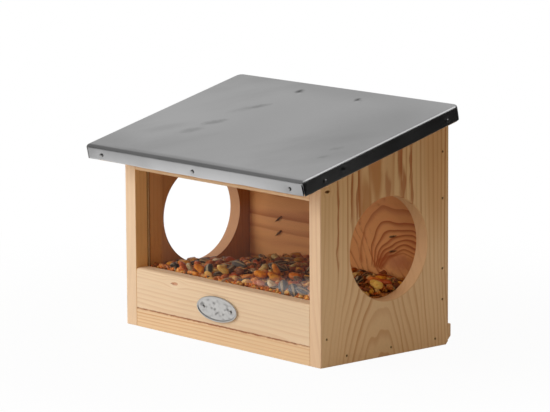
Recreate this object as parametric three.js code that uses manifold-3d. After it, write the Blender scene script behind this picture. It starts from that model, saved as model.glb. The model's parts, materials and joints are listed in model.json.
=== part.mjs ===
// Squirrel feeder box: a pine box with a round entrance in each side, a pane in front,
// and a hinged roof board under a folded zinc sheet. Millimetres, +Z up, +Y to the back.
// The origin is in the middle of the underside of the box.

import * as THREE from 'three';
import * as BufferGeometryUtils from 'three/addons/utils/BufferGeometryUtils.js';
import Module from 'manifold-3d';

const wasm = await Module();
wasm.setup();

// Box of pine boards; the sill, the rail and the batten are cut from one strip
const boxWidth = 223.6;
const boxDepth = 127.8;
const boardThickness = 12;
const sideFrontHeight = 136.1;
const stripWidth = 14.4;
const frontBoardHeight = 31;
const railHeadroom = 0.5;
const seamGap = 0.1;
const frontEdgeEase = 0.9;
const sawnEdgeEase = 0.3;
const backCornerEase = 2.2;
const battenEase = 2.6;

// Round entrance in each side panel; its place is measured from the middle of the panel
const entranceRadius = 38.6;
const entranceHeight = 80.1;
const entranceBackset = 3.6;

// Pane in its grooves
const paneThickness = 1.8;
const paneGap = 0.3;
const paneGrooveDepth = 4;
const paneHeadroom = 1;

// Roof board and folded sheet; the sheet ends a little behind the middle of the hinge pin
const roofPitch = THREE.MathUtils.degToRad(14.71);
const sideOverhang = 12.35;
const frontOverhang = 28.1;
const sheetBackReach = 0.657;
const roofBoardThickness = 11.2;
const lidRestGap = 0.3;
const sheetThickness = 0.6;
const sheetEdgeHeight = 11.6;
const sheetBendRadius = 2;
const sheetCornerRadius = 3;
const sheetSlitWidth = 0.9;
const sheetGap = 0.3;
const dentRadius = 2.4;
const dentTopRadius = 0.8;
const dentHeight = 0.5;

// Butt hinge behind the wall: one leaf on the wall, one under the roof board
const hingeLength = 80;
const hingeLeafWidth = 21;
const hingeLeafThickness = 1;
const hingeLeafGap = 0.3;
const hingePinRadius = 1.1;
const hingePinGap = 0.25;
const hingeKnuckleCount = 5;
const hingeKnuckleGap = 0.3;
const hingeScrewInset = 4.2;
const hingeScrewShares = [-0.4125, 0.4125];

// Bare oval plate with two pins
const plateWidth = 46;
const plateHeight = 19.2;
const plateThickness = 1.5;
const plateRimWidth = 1.3;
const plateRecess = 0.5;
const plateOffset = -3;
const plateHeightShare = 0.41;
const platePinShares = [-0.337, 0.337];

// Hanger plates: a flat foot with two nails, and a raised end with a keyhole
const hangerSpacing = 123;
const hangerWidth = 14;
const hangerThickness = 1.2;
const hangerFootBottom = 57.6;
const hangerFootHeight = 26;
const hangerRise = 3.2;
const hangerRaisedHeight = 20;
const hangerHeadHoleRadius = 4.5;
const hangerSlotRadius = 2.2;
const hangerSlotLength = 7.5;
const hangerNailShares = [0.285, 0.72];
const hangerPointLength = 8;
const hangerLeanLeft = THREE.MathUtils.degToRad(215);
const hangerLeanRight = THREE.MathUtils.degToRad(14);

// Feed: its level at the pane is the top of the front board
const feedGap = 0.4;
const feedMoundHeight = 8.5;
const feedHollowDepth = 6;
const feedRippleHeight = 0.9;
const rippleWaves = { across: 17, along: 9, skew: 3 };
const moundPlaceShare = -0.19;
const moundWidthShare = 0.14;
const hollowPlaceShare = -0.5;
const hollowWidthShare = 0.11;
const kernelCount = 36;
const kernelLength = 10;
const kernelWidth = 7.5;
const kernelHeight = 4.6;
const kernelLiftShare = 0.2;

// Fasteners are turned about their own axis; a head with a negative sink stands on the surface
const fastenerGap = 0.25;
const brad = { shankRadius: 0.75, headRadius: 0.75, headHeight: 0, bite: 16, point: 1.8, sink: 0.3 };
const sheetNail = { shankRadius: 0.7, headRadius: 1.5, headHeight: 0.5, bite: 12.4, point: 1.6, sink: -0.6 };
const battenNail = { shankRadius: 1.1, headRadius: 2.4, headHeight: 0.8, bite: 19, point: 2.4, sink: 0.3 };
const platePin = { shankRadius: 0.7, headRadius: 1.3, headHeight: 0.7, bite: 9, point: 1.6, sink: -0.8 };
const hangerNail = { shankRadius: 0.7, headRadius: 2, headHeight: 0.6, bite: 0, point: 0, sink: -0.7 };
const hingeScrew = { shankRadius: 1.25, headRadius: 2.2, headHeight: 1, bite: 10.2, point: 2.2, sink: 0 };
const screwCover = 1;

// Places of the nails, as shares of the edge or board that they follow
const railBradShare = 0.6;
const frontBradShare = 0.2;
const floorBradShares = [0.2, 0.545, 0.896];
const wallBradShares = [0.206, 0.343, 0.655, 0.86];
const fasciaNailDropShare = 0.655;
const sideNailDropShare = 0.67;
const fasciaNailInset = 16;
const sideNailShares = [0.132, 0.9084];
const backNailInset = 62;
const battenNailInset = 30;

// One overrun for every cut, and the smoothness of the round shapes
const overrun = 5;
const roundSteps = 8;
const arcSteps = 3;
const entranceSteps = 48;
const barrelSteps = 16;
const plateSteps = 30;
const keyholeSteps = 8;
const feedStepsAcross = 18;
const feedStepsAlong = 9;
const kernelStepsAround = 6;
const kernelStepsUp = 4;

// Worked out from the sizes above
const innerWidth = boxWidth - 2 * boardThickness;
const roofWidth = boxWidth + 2 * sideOverhang;
const boardWidth = innerWidth - 2 * seamGap;
const frontY = -boxDepth / 2;
const backY = boxDepth / 2;
const pitchSine = Math.sin(roofPitch);
const pitchCosine = Math.cos(roofPitch);
const pitchTangent = Math.tan(roofPitch);
const frontBoardBottom = stripWidth + seamGap;
const windowBottom = frontBoardBottom + frontBoardHeight;
const railBottom = undersideHeight(frontY) - railHeadroom - stripWidth;
const paneFrontY = frontY + boardThickness + paneGap;
const paneBackY = paneFrontY + paneThickness;
const wallFaceY = backY - boardThickness;
const barrelRadius = hingePinRadius + hingePinGap + hingeLeafThickness;
const undersideLift = barrelRadius + hingeLeafGap;
const lidTopZ = undersideLift + roofBoardThickness + sheetGap + sheetThickness;
const hingeY = backY + seamGap + barrelRadius;
const hingeZ = undersideHeight(hingeY) - undersideLift / pitchCosine;
const wallDrop = hingeLeafGap + hingeLeafThickness + hingeLeafGap;
const lidFrontY = (frontY - frontOverhang - hingeY + lidTopZ * pitchSine) / pitchCosine;
const lidBackY = sheetBackReach;
const roofLength = lidBackY - lidFrontY;
const hingeScrewReach = hingeLeafWidth - hingeScrewInset;
const feedBackY = wallFaceY - seamGap - 2 * hangerNail.shankRadius - feedGap;
const feedLevel = windowBottom - boardThickness;

const xAxis = new THREE.Vector3(1, 0, 0);
const yAxis = new THREE.Vector3(0, 1, 0);
const zAxis = new THREE.Vector3(0, 0, 1);
const here = new THREE.Vector3();

const pine = new THREE.MeshStandardMaterial({ color: 0xd9b48a, roughness: 0.62, metalness: 0 });
const sidePine = new THREE.MeshStandardMaterial({ color: 0xc69a68, roughness: 0.62, metalness: 0 });
const zinc = new THREE.MeshStandardMaterial({ color: 0x9a9a9a, roughness: 0.42, metalness: 0.85 });
const steel = new THREE.MeshStandardMaterial({ color: 0x8d8f92, roughness: 0.4, metalness: 0.9 });
const silver = new THREE.MeshStandardMaterial({ color: 0xaaaaa6, roughness: 0.35, metalness: 0.9 });
const feedMix = new THREE.MeshStandardMaterial({ color: 0xa6742f, roughness: 0.7, metalness: 0 });
const clear = new THREE.MeshStandardMaterial({ color: 0xf2f6f6, roughness: 0.05, metalness: 0 });
clear.transparent = true;
clear.opacity = 0.25;

// Height of the closed lid's underside over a place y in the box
function undersideHeight(y) {
  return sideFrontHeight + lidRestGap / pitchCosine + (y - frontY) * pitchTangent;
}

function sideWord(side) {
  return side < 0 ? 'left' : 'right';
}

// A closed geometry as a solid for cutting and joining
function toSolid(geometry) {
  const bare = geometry.clone();
  bare.deleteAttribute('normal');
  bare.deleteAttribute('uv');
  const merged = BufferGeometryUtils.mergeVertices(bare);
  const triVerts = Uint32Array.from(merged.index.array);
  const vertProperties = merged.attributes.position.array;
  return new wasm.Manifold(new wasm.Mesh({ numProp: 3, vertProperties, triVerts }));
}

function toGeometry(solid) {
  const mesh = solid.getMesh();
  const geometry = new THREE.BufferGeometry();
  geometry.setAttribute('position', new THREE.BufferAttribute(mesh.vertProperties, 3));
  geometry.setIndex(new THREE.BufferAttribute(mesh.triVerts, 1));
  geometry.computeVertexNormals();
  return geometry;
}

function placed(name, solid, place, material) {
  const mesh = new THREE.Mesh(toGeometry(solid), material);
  mesh.name = name;
  mesh.position.copy(place);
  return mesh;
}

function block(width, depth, height, middle = here) {
  const geometry = new THREE.BoxGeometry(width, depth, height);
  return toSolid(geometry.translate(middle.x, middle.y, middle.z));
}

function polygon(points) {
  return new THREE.Shape(points.map(([across, up]) => new THREE.Vector2(across, up)));
}

function extruded(shape, depth, curveSegments) {
  return new THREE.ExtrudeGeometry(shape, { depth, curveSegments, bevelEnabled: false });
}

// A shape drawn in y and z, carried along x about the middle
function alongX(shape, width, steps = arcSteps) {
  const turn = new THREE.Matrix4().makeBasis(yAxis, zAxis, xAxis);
  return extruded(shape, width, steps).applyMatrix4(turn).translate(-width / 2, 0, 0);
}

// A shape drawn in x and z, carried along y about the middle
function alongY(shape, depth, steps = arcSteps) {
  return extruded(shape, depth, steps).rotateX(Math.PI / 2).translate(0, depth / 2, 0);
}

// A round bar along x about the middle
function barAlongX(radius, length, steps = barrelSteps) {
  return new THREE.CylinderGeometry(radius, radius, length, steps).rotateZ(Math.PI / 2);
}

function turnTowards(direction) {
  return new THREE.Quaternion().setFromUnitVectors(yAxis, direction);
}

// A fastener: its kind and name, where it enters the surface, its direction, and what it
// passes through before it bites
function fastener(name, kind, at, into, through) {
  const head = at.clone().addScaledVector(into, kind.sink);
  const length = through + kind.bite - kind.sink;
  return { name, kind, head, into, length };
}

// The turned outline of a fastener from its head to its point
function fastenerOutline(kind, length) {
  const points = [[0, 0], [kind.headRadius, 0]];
  if (kind.headRadius > kind.shankRadius) {
    const tapered = kind.sink === 0;
    points.push([tapered ? kind.shankRadius : kind.headRadius, kind.headHeight]);
    if (!tapered) points.push([kind.shankRadius, kind.headHeight]);
  }
  points.push([kind.shankRadius, length - kind.point]);
  points.push([0, length]);
  return points.map(([radius, reach]) => new THREE.Vector2(radius, reach));
}

// The outline of the hole: wider all round, open at the surface, and without the head where
// that stands on the surface
function holeOutline(kind, length) {
  const shank = kind.shankRadius + fastenerGap;
  const mouth = kind.sink < 0 ? shank : kind.headRadius + fastenerGap;
  const points = [[0, -overrun], [mouth, -overrun]];
  if (mouth > shank) {
    points.push([mouth, kind.sink === 0 ? 0 : kind.headHeight]);
    points.push([shank, kind.headHeight]);
  }
  points.push([shank, length - kind.point + fastenerGap]);
  points.push([0, length + fastenerGap]);
  return points.map(([radius, reach]) => new THREE.Vector2(radius, reach));
}

function fastenerMesh(item, material) {
  const outline = fastenerOutline(item.kind, item.length);
  const mesh = new THREE.Mesh(new THREE.LatheGeometry(outline, roundSteps), material);
  mesh.name = item.name;
  mesh.position.copy(item.head);
  mesh.quaternion.copy(turnTowards(item.into));
  return mesh;
}

// Cuts the holes of the fasteners into a solid whose own origin stands at place
function drilled(solid, place, fasteners) {
  let result = solid;
  for (const item of fasteners) {
    const hole = new THREE.LatheGeometry(holeOutline(item.kind, item.length), roundSteps);
    const at = item.head.clone().sub(place);
    hole.applyQuaternion(turnTowards(item.into)).translate(at.x, at.y, at.z);
    result = result.subtract(toSolid(hole));
  }
  return result;
}

// The nine brads of a side panel
function sideBrads(side) {
  const x = side * boxWidth / 2;
  const into = xAxis.clone().multiplyScalar(-side);
  const places = [
    ['rail', frontY + railBradShare * boardThickness, railBottom + stripWidth / 2],
    ['front', frontY + boardThickness / 2, frontBoardBottom + frontBradShare * frontBoardHeight],
  ];
  floorBradShares.forEach((share, index) => {
    places.push([`floor_${index + 1}`, frontY + share * boxDepth, boardThickness / 2]);
  });
  wallBradShares.forEach((share, index) => {
    places.push([`wall_${index + 1}`, backY - boardThickness / 2, share * undersideHeight(backY)]);
  });
  return places.map(([spot, y, z]) => {
    const at = new THREE.Vector3(x, y, z);
    return fastener(`brad_${sideWord(side)}_${spot}`, brad, at, into, boardThickness);
  });
}

// Side panel: sloped top, round entrance, groove for the pane
function sidePanel(side, fasteners) {
  const outline = polygon([
    [frontY, 0],
    [backY - backCornerEase, 0],
    [backY, backCornerEase],
    [backY, sideFrontHeight + boxDepth * pitchTangent],
    [frontY, sideFrontHeight],
  ]);
  const entrance = barAlongX(entranceRadius, boardThickness + 2 * overrun, entranceSteps);
  entrance.translate(0, entranceBackset, entranceHeight);
  const panelHeight = undersideHeight(backY);
  const groove = block(
    paneGrooveDepth + overrun,
    paneThickness + 2 * paneGap,
    panelHeight + 2 * overrun,
    new THREE.Vector3(
      -side * (boardThickness / 2 - paneGrooveDepth + (paneGrooveDepth + overrun) / 2),
      (paneFrontY + paneBackY) / 2,
      panelHeight / 2,
    ),
  );
  const panel = toSolid(alongX(outline, boardThickness)).subtract(toSolid(entrance)).subtract(groove);
  const place = new THREE.Vector3(side * (boxWidth - boardThickness) / 2, 0, 0);
  return placed(`side_panel_${sideWord(side)}`, drilled(panel, place, fasteners), place, sidePine);
}

function floorBoard(fasteners) {
  const depth = boxDepth - boardThickness - seamGap;
  const place = new THREE.Vector3(0, backY - depth / 2, boardThickness / 2);
  const board = block(boardWidth, depth, boardThickness);
  return placed('floor_board', drilled(board, place, fasteners), place, pine);
}

// Back wall: stands on the floor, its top parallel to the roof and lowered for the hinge leaf
function backWall(fasteners) {
  const bottom = boardThickness + seamGap;
  const drop = wallDrop / pitchCosine;
  const outline = polygon([
    [wallFaceY, bottom],
    [backY, bottom],
    [backY, undersideHeight(backY) - drop],
    [wallFaceY, undersideHeight(wallFaceY) - drop],
  ]);
  const wall = toSolid(alongX(outline, boardWidth));
  return placed('back_wall', drilled(wall, here, fasteners), here, pine);
}

// A board across the front, with its two top edges rounded
function crossBoard(name, bottom, height, ease, fasteners) {
  const half = boardThickness / 2;
  const shape = new THREE.Shape();
  shape.moveTo(-half, 0);
  shape.lineTo(half, 0);
  shape.absarc(half - ease, height - ease, ease, 0, Math.PI / 2, false);
  shape.absarc(-half + ease, height - ease, ease, Math.PI / 2, Math.PI, false);
  shape.closePath();
  const place = new THREE.Vector3(0, frontY + half, bottom);
  const board = toSolid(alongX(shape, boardWidth));
  return placed(name, drilled(board, place, fasteners), place, pine);
}

// Batten behind the floor, with its lower back edge taken off
function backBatten(fasteners) {
  const outline = polygon([
    [0, 0],
    [stripWidth - battenEase, 0],
    [stripWidth, battenEase],
    [stripWidth, boardThickness],
    [0, boardThickness],
  ]);
  const place = new THREE.Vector3(0, backY + seamGap, 0);
  const batten = toSolid(alongX(outline, boardWidth));
  return placed('back_batten', drilled(batten, place, fasteners), place, pine);
}

function battenNails() {
  return [-1, 1].map((side) => {
    const x = side * (innerWidth / 2 - battenNailInset);
    const at = new THREE.Vector3(x, backY + seamGap + stripWidth, boardThickness / 2);
    return fastener(`batten_nail_${sideWord(side)}`, battenNail, at, yAxis.clone().negate(), stripWidth);
  });
}

function windowPane() {
  const width = innerWidth + 2 * (paneGrooveDepth - paneGap);
  const bottom = boardThickness + paneGap;
  const height = undersideHeight(paneFrontY) - paneHeadroom - bottom;
  const place = new THREE.Vector3(0, (paneFrontY + paneBackY) / 2, bottom + height / 2);
  return placed('window_pane', block(width, paneThickness, height), place, clear);
}

function ovalBlock(width, height, depth) {
  const shape = new THREE.Shape();
  shape.absellipse(0, 0, width / 2, height / 2, 0, 2 * Math.PI, false, 0);
  return alongY(shape, depth, plateSteps);
}

function plateMiddle() {
  const y = frontY - seamGap - plateThickness / 2;
  return new THREE.Vector3(plateOffset, y, frontBoardBottom + plateHeightShare * frontBoardHeight);
}

// Bare oval plate with a raised rim
function namePlate(fasteners) {
  const oval = toSolid(ovalBlock(plateWidth, plateHeight, plateThickness));
  const field = ovalBlock(plateWidth - 2 * plateRimWidth, plateHeight - 2 * plateRimWidth, plateThickness);
  field.translate(0, plateRecess - plateThickness, 0);
  const plate = oval.subtract(toSolid(field));
  return placed('name_plate', drilled(plate, plateMiddle(), fasteners), plateMiddle(), silver);
}

function platePins() {
  return platePinShares.map((share) => {
    const at = plateMiddle();
    at.x += share * plateWidth;
    at.y += plateRecess - plateThickness / 2;
    return fastener(`plate_pin_${sideWord(share)}`, platePin, at, yAxis, plateThickness - plateRecess);
  });
}

// Hanger plate: bent strip with a round hole for a screw head and a slot above it
function hangerPlate(side, fasteners) {
  const bendTop = hangerFootHeight + hangerRise;
  const top = bendTop + hangerRaisedHeight;
  const outline = polygon([
    [0, 0],
    [hangerThickness, 0],
    [hangerThickness, hangerFootHeight],
    [hangerRise + hangerThickness, bendTop],
    [hangerRise + hangerThickness, top],
    [hangerRise, top],
    [hangerRise, bendTop + hangerThickness / 2],
    [0, hangerFootHeight + hangerThickness / 2],
  ]);
  const headZ = bendTop + hangerThickness + hangerHeadHoleRadius;
  const slotTop = headZ + hangerSlotLength;
  const head = new THREE.Shape();
  head.absarc(0, headZ, hangerHeadHoleRadius, 0, 2 * Math.PI, false);
  const slot = new THREE.Shape();
  slot.moveTo(-hangerSlotRadius, headZ);
  slot.lineTo(hangerSlotRadius, headZ);
  slot.absarc(0, slotTop, hangerSlotRadius, 0, Math.PI, false);
  slot.closePath();
  const reach = 2 * (hangerRise + hangerThickness + overrun);
  const plate = toSolid(alongX(outline, hangerWidth))
    .subtract(toSolid(alongY(head, reach, keyholeSteps)))
    .subtract(toSolid(alongY(slot, reach)));
  const place = new THREE.Vector3(side * hangerSpacing / 2, backY + seamGap, hangerFootBottom);
  return placed(`hanger_plate_${sideWord(side)}`, drilled(plate, place, fasteners), place, steel);
}

// A hanger nail goes through plate and wall, and its point lies bent over on the inner face
function hangerNails(side) {
  const headY = backY + seamGap + hangerThickness;
  const bendY = wallFaceY - seamGap - hangerNail.shankRadius;
  return hangerNailShares.map((share, index) => {
    const z = hangerFootBottom + share * hangerFootHeight;
    const at = new THREE.Vector3(side * hangerSpacing / 2, headY, z);
    const name = `hanger_nail_${sideWord(side)}_${index + 1}`;
    return fastener(name, hangerNail, at, yAxis.clone().negate(), headY - bendY);
  });
}

function hangerNailMesh(item, lean) {
  const radius = item.kind.shankRadius;
  const turn = turnTowards(item.into);
  const direction = new THREE.Vector3(Math.cos(lean), 0, Math.sin(lean)).applyQuaternion(turn.clone().invert());
  const point = { ...item.kind, headRadius: radius, point: 3 * radius };
  const shank = new THREE.LatheGeometry(fastenerOutline(item.kind, item.length), roundSteps);
  const bent = new THREE.LatheGeometry(fastenerOutline(point, hangerPointLength), roundSteps);
  bent.applyQuaternion(turnTowards(direction)).translate(0, item.length, 0);
  const elbow = new THREE.SphereGeometry(radius, roundSteps, roundSteps / 2).translate(0, item.length, 0);
  const solid = toSolid(shank).add(toSolid(bent)).add(toSolid(elbow));
  const mesh = placed(item.name, solid, item.head, steel);
  mesh.quaternion.copy(turn);
  return mesh;
}

// Height of the feed over the floor: a mound towards the back and a hollow in the left corner
function feedHeight(x, y) {
  const across = x / innerWidth;
  const along = (y - paneBackY) / (feedBackY - paneBackY);
  const mound = feedMoundHeight * Math.exp(-(((across - moundPlaceShare) / moundWidthShare) ** 2));
  const hollow = feedHollowDepth * Math.exp(-(((across - hollowPlaceShare) / hollowWidthShare) ** 2));
  const swing = Math.cos(rippleWaves.along * along + rippleWaves.skew * across);
  const ripple = feedRippleHeight * Math.sin(rippleWaves.across * across) * swing;
  return feedLevel + along * (mound - hollow) + ripple;
}

// Feed: one body, with maize kernels lying half in its top
function feedBed() {
  const lowX = -innerWidth / 2 + feedGap;
  const lowY = paneBackY + feedGap;
  const width = innerWidth - 2 * feedGap;
  const depth = feedBackY - lowY;
  const geometry = new THREE.BoxGeometry(width, depth, feedLevel, feedStepsAcross, feedStepsAlong, 1);
  geometry.translate(0, lowY + depth / 2, 0);
  const position = geometry.attributes.position;
  for (let index = 0; index < position.count; index += 1) {
    const top = feedHeight(position.getX(index), position.getY(index));
    position.setZ(index, position.getZ(index) > 0 ? top : feedGap);
  }
  let bed = toSolid(geometry);
  const goldenTurn = Math.PI * (3 - Math.sqrt(5));
  for (let index = 0; index < kernelCount; index += 1) {
    const x = lowX + kernelLength + ((index + 0.5) / kernelCount) * (width - 2 * kernelLength);
    const y = lowY + kernelLength + ((index * goldenTurn / Math.PI) % 1) * (depth - 2 * kernelLength);
    const kernel = new THREE.SphereGeometry(1, kernelStepsAround, kernelStepsUp);
    kernel.scale(kernelLength / 2, kernelWidth / 2, kernelHeight / 2);
    kernel.rotateY(Math.sin(2 * index) / 2).rotateZ(index * goldenTurn);
    kernel.translate(x, y, feedHeight(x, y) + kernelLiftShare * kernelHeight);
    bed = bed.add(toSolid(kernel));
  }
  return placed('feed_bed', bed, new THREE.Vector3(0, 0, boardThickness), feedMix);
}

// A hood section with rounded shoulders, from its bottom to its top
function hoodShape(low, high, bottom, top, radius) {
  const shape = new THREE.Shape();
  shape.moveTo(low, bottom);
  shape.lineTo(high, bottom);
  shape.absarc(high - radius, top - radius, radius, 0, Math.PI / 2, false);
  shape.absarc(low + radius, top - radius, radius, Math.PI / 2, Math.PI, false);
  shape.closePath();
  return shape;
}

// The block of the roof with all its faces moved in by inset: rounded along the top edges
// and at the two back corners
function roofBlock(inset, bottom) {
  const half = roofWidth / 2 - inset;
  const front = lidFrontY + inset;
  const back = lidBackY - inset;
  const top = lidTopZ - inset;
  const radius = sheetBendRadius - inset;
  const corner = sheetCornerRadius - inset;
  const crossReach = 2 * (roofLength + hingeLeafWidth + overrun);
  const across = toSolid(alongY(hoodShape(-half, half, bottom, top, radius), crossReach));
  const along = toSolid(alongX(hoodShape(front, back, bottom, top, radius), roofWidth + 2 * overrun));
  const plan = hoodShape(-half, half, front, back, corner);
  const tall = extruded(plan, top - bottom + 2 * overrun, arcSteps).translate(0, 0, bottom - overrun);
  return across.intersect(along).intersect(toSolid(tall));
}

// Roof board: fills the folded sheet and stands a little below its edges
function roofBoard(fasteners) {
  const board = roofBlock(sheetThickness + sheetGap, undersideLift);
  return placed('roof_board', drilled(board, here, fasteners), here, pine);
}

// Roof sheet: folded down on all four sides, slit at the front corners, and dented from
// below by the tips of the hinge screws
function roofSheet(fasteners) {
  const bottom = lidTopZ - sheetEdgeHeight;
  let sheet = roofBlock(0, bottom).subtract(roofBlock(sheetThickness, bottom - overrun));
  const slitDepth = 2 * (sheetThickness + sheetBendRadius);
  const slitHeight = 2 * (sheetEdgeHeight - sheetBendRadius);
  for (const side of [-1, 1]) {
    const x = side * (roofWidth / 2 - sheetThickness - sheetSlitWidth / 2);
    const middle = new THREE.Vector3(x, lidFrontY, bottom);
    sheet = sheet.subtract(block(sheetSlitWidth, slitDepth, slitHeight, middle));
  }
  const rooted = sheetThickness / 2;
  for (const share of hingeScrewShares) {
    const dent = new THREE.CylinderGeometry(dentTopRadius, dentRadius, dentHeight + rooted, roundSteps);
    const z = lidTopZ + (dentHeight - rooted) / 2;
    dent.rotateX(Math.PI / 2).translate(share * hingeLength, -hingeScrewReach, z);
    sheet = sheet.add(toSolid(dent));
  }
  return placed('roof_sheet', drilled(sheet, here, fasteners), here, zinc);
}

// Sheet nails: three in front, two on each side, two behind
function sheetNails() {
  const frontZ = lidTopZ - fasciaNailDropShare * sheetEdgeHeight;
  const sideZ = lidTopZ - sideNailDropShare * sheetEdgeHeight;
  const nail = (name, at, into) => fastener(`sheet_nail_${name}`, sheetNail, at, into, sheetThickness);
  const nails = ['left', 'middle', 'right'].map((word, index) => {
    const x = (index - 1) * (roofWidth / 2 - fasciaNailInset);
    return nail(`front_${word}`, new THREE.Vector3(x, lidFrontY, frontZ), yAxis);
  });
  for (const side of [-1, 1]) {
    const into = xAxis.clone().multiplyScalar(-side);
    sideNailShares.forEach((share, index) => {
      const at = new THREE.Vector3(side * roofWidth / 2, lidFrontY + share * roofLength, sideZ);
      nails.push(nail(`${sideWord(side)}_${index + 1}`, at, into));
    });
    const at = new THREE.Vector3(side * (roofWidth / 2 - backNailInset), lidBackY, frontZ);
    nails.push(nail(`back_${sideWord(side)}`, at, yAxis.clone().negate()));
  }
  return nails;
}

// One hinge leaf about the hinge axis: its plate lies on top of the barrel and runs towards
// -y, and it keeps every second knuckle, counted from first
function hingeLeaf(first, fasteners) {
  const knuckleLength = hingeLength / hingeKnuckleCount;
  const middle = new THREE.Vector3(0, -hingeLeafWidth / 2, barrelRadius - hingeLeafThickness / 2);
  const plate = block(hingeLength, hingeLeafWidth, hingeLeafThickness, middle);
  const bore = barAlongX(hingePinRadius + hingePinGap, hingeLength + 2 * overrun);
  let leaf = toSolid(barAlongX(barrelRadius, hingeLength)).add(plate).subtract(toSolid(bore));
  for (let index = 0; index < hingeKnuckleCount; index += 1) {
    const x = (index + 0.5) * knuckleLength - hingeLength / 2;
    const outer = index === 0 || index === hingeKnuckleCount - 1 ? overrun : 0;
    const room = barAlongX(barrelRadius + hingeKnuckleGap, knuckleLength + hingeKnuckleGap + outer);
    room.translate(x + Math.sign(x) * outer / 2, 0, 0);
    if (index % 2 !== first) leaf = leaf.subtract(toSolid(room));
  }
  return drilled(leaf, here, fasteners);
}

// The two screws of a leaf, about the hinge axis
function hingeScrews(leafWord) {
  const cover = Math.min(roofBoardThickness, boardThickness) - screwCover;
  const kind = { ...hingeScrew, headHeight: hingeLeafThickness, bite: Math.min(hingeScrew.bite, cover) };
  return hingeScrewShares.map((share) => {
    const z = barrelRadius - hingeLeafThickness;
    const at = new THREE.Vector3(share * hingeLength, -hingeScrewReach, z);
    const name = `hinge_screw_${leafWord}_${sideWord(share)}`;
    return fastener(name, kind, at, zAxis, hingeLeafThickness + hingeLeafGap);
  });
}

// The lid turns about the hinge axis, which is the origin of its group
function lid() {
  const group = new THREE.Group();
  const nails = sheetNails();
  const screws = hingeScrews('roof');
  group.position.set(0, hingeY, hingeZ);
  group.rotation.x = roofPitch;
  group.add(roofBoard([...nails, ...screws]));
  group.add(roofSheet(nails));
  group.add(placed('hinge_roof_leaf', hingeLeaf(1, screws), here, steel));
  [...nails, ...screws].forEach((item) => group.add(fastenerMesh(item, steel)));
  return group;
}

// The wall leaf is the same drawing turned down behind the wall, with the pin
const wallHinge = new THREE.Group();
const wallScrews = hingeScrews('wall');
const pin = new THREE.Mesh(barAlongX(hingePinRadius, hingeLength), steel);
pin.name = 'hinge_pin';
wallHinge.position.set(0, hingeY, hingeZ);
wallHinge.rotation.x = Math.PI / 2;
wallHinge.add(placed('hinge_wall_leaf', hingeLeaf(0, wallScrews), here, steel));
wallHinge.add(pin);
wallScrews.forEach((item) => wallHinge.add(fastenerMesh(item, steel)));
wallHinge.updateMatrixWorld(true);
const wallScrewsInBox = wallScrews.map((item) => ({
  ...item,
  head: item.head.clone().applyMatrix4(wallHinge.matrixWorld),
  into: item.into.clone().applyQuaternion(wallHinge.quaternion),
}));

const leftBrads = sideBrads(-1);
const rightBrads = sideBrads(1);
const brads = [...leftBrads, ...rightBrads];
const bradsOf = (spot) => brads.filter((item) => item.name.includes(spot));
const pins = platePins();
const rearNails = battenNails();
const leftHangerNails = hangerNails(-1);
const rightHangerNails = hangerNails(1);
const throughWall = [...leftHangerNails, ...rightHangerNails, ...wallScrewsInBox];
const frontFasteners = [...bradsOf('front'), ...pins];

const feeder = new THREE.Group();
feeder.add(sidePanel(-1, leftBrads));
feeder.add(sidePanel(1, rightBrads));
feeder.add(floorBoard([...bradsOf('floor'), ...rearNails]));
feeder.add(backWall([...bradsOf('wall'), ...throughWall]));
feeder.add(crossBoard('front_sill', 0, stripWidth, sawnEdgeEase, []));
feeder.add(crossBoard('front_board', frontBoardBottom, frontBoardHeight, frontEdgeEase, frontFasteners));
feeder.add(crossBoard('top_rail', railBottom, stripWidth, sawnEdgeEase, bradsOf('rail')));
feeder.add(backBatten(rearNails));
feeder.add(windowPane());
feeder.add(namePlate(pins));
feeder.add(hangerPlate(-1, leftHangerNails));
feeder.add(hangerPlate(1, rightHangerNails));
feeder.add(feedBed());
[...brads, ...rearNails].forEach((item) => feeder.add(fastenerMesh(item, steel)));
pins.forEach((item) => feeder.add(fastenerMesh(item, silver)));
leftHangerNails.forEach((item) => feeder.add(hangerNailMesh(item, hangerLeanLeft)));
rightHangerNails.forEach((item) => feeder.add(hangerNailMesh(item, hangerLeanRight)));
feeder.add(wallHinge);
feeder.add(lid());

export default feeder;
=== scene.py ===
# Squirrel feeder box: pine boards, a clear pane, a folded zinc roof on a hinge, nails, and a
# bed of mixed feed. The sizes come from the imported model; lengths are in metres.
import json
import math
import bmesh
import bpy
import numpy as np
from mathutils import Matrix, Vector


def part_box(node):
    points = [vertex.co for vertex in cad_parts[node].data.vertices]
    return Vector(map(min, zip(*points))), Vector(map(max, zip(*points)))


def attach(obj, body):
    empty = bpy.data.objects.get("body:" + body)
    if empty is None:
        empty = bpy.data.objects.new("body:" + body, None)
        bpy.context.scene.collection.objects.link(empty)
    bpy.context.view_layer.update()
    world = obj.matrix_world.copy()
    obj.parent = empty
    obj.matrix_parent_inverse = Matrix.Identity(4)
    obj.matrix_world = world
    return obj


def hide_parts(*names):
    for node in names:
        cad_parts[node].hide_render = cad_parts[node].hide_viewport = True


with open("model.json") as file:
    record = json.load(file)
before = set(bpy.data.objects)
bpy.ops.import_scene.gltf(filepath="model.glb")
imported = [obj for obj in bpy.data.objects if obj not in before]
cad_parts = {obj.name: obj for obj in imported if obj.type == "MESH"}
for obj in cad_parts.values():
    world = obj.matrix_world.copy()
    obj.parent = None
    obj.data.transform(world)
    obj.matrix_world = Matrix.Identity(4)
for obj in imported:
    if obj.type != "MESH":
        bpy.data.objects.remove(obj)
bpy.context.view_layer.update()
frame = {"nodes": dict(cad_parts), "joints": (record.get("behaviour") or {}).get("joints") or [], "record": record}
mm = 0.001
quarter = math.pi / 2
random = np.random.default_rng(7)
print("frame loaded:", len(frame["nodes"]), "nodes")


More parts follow.
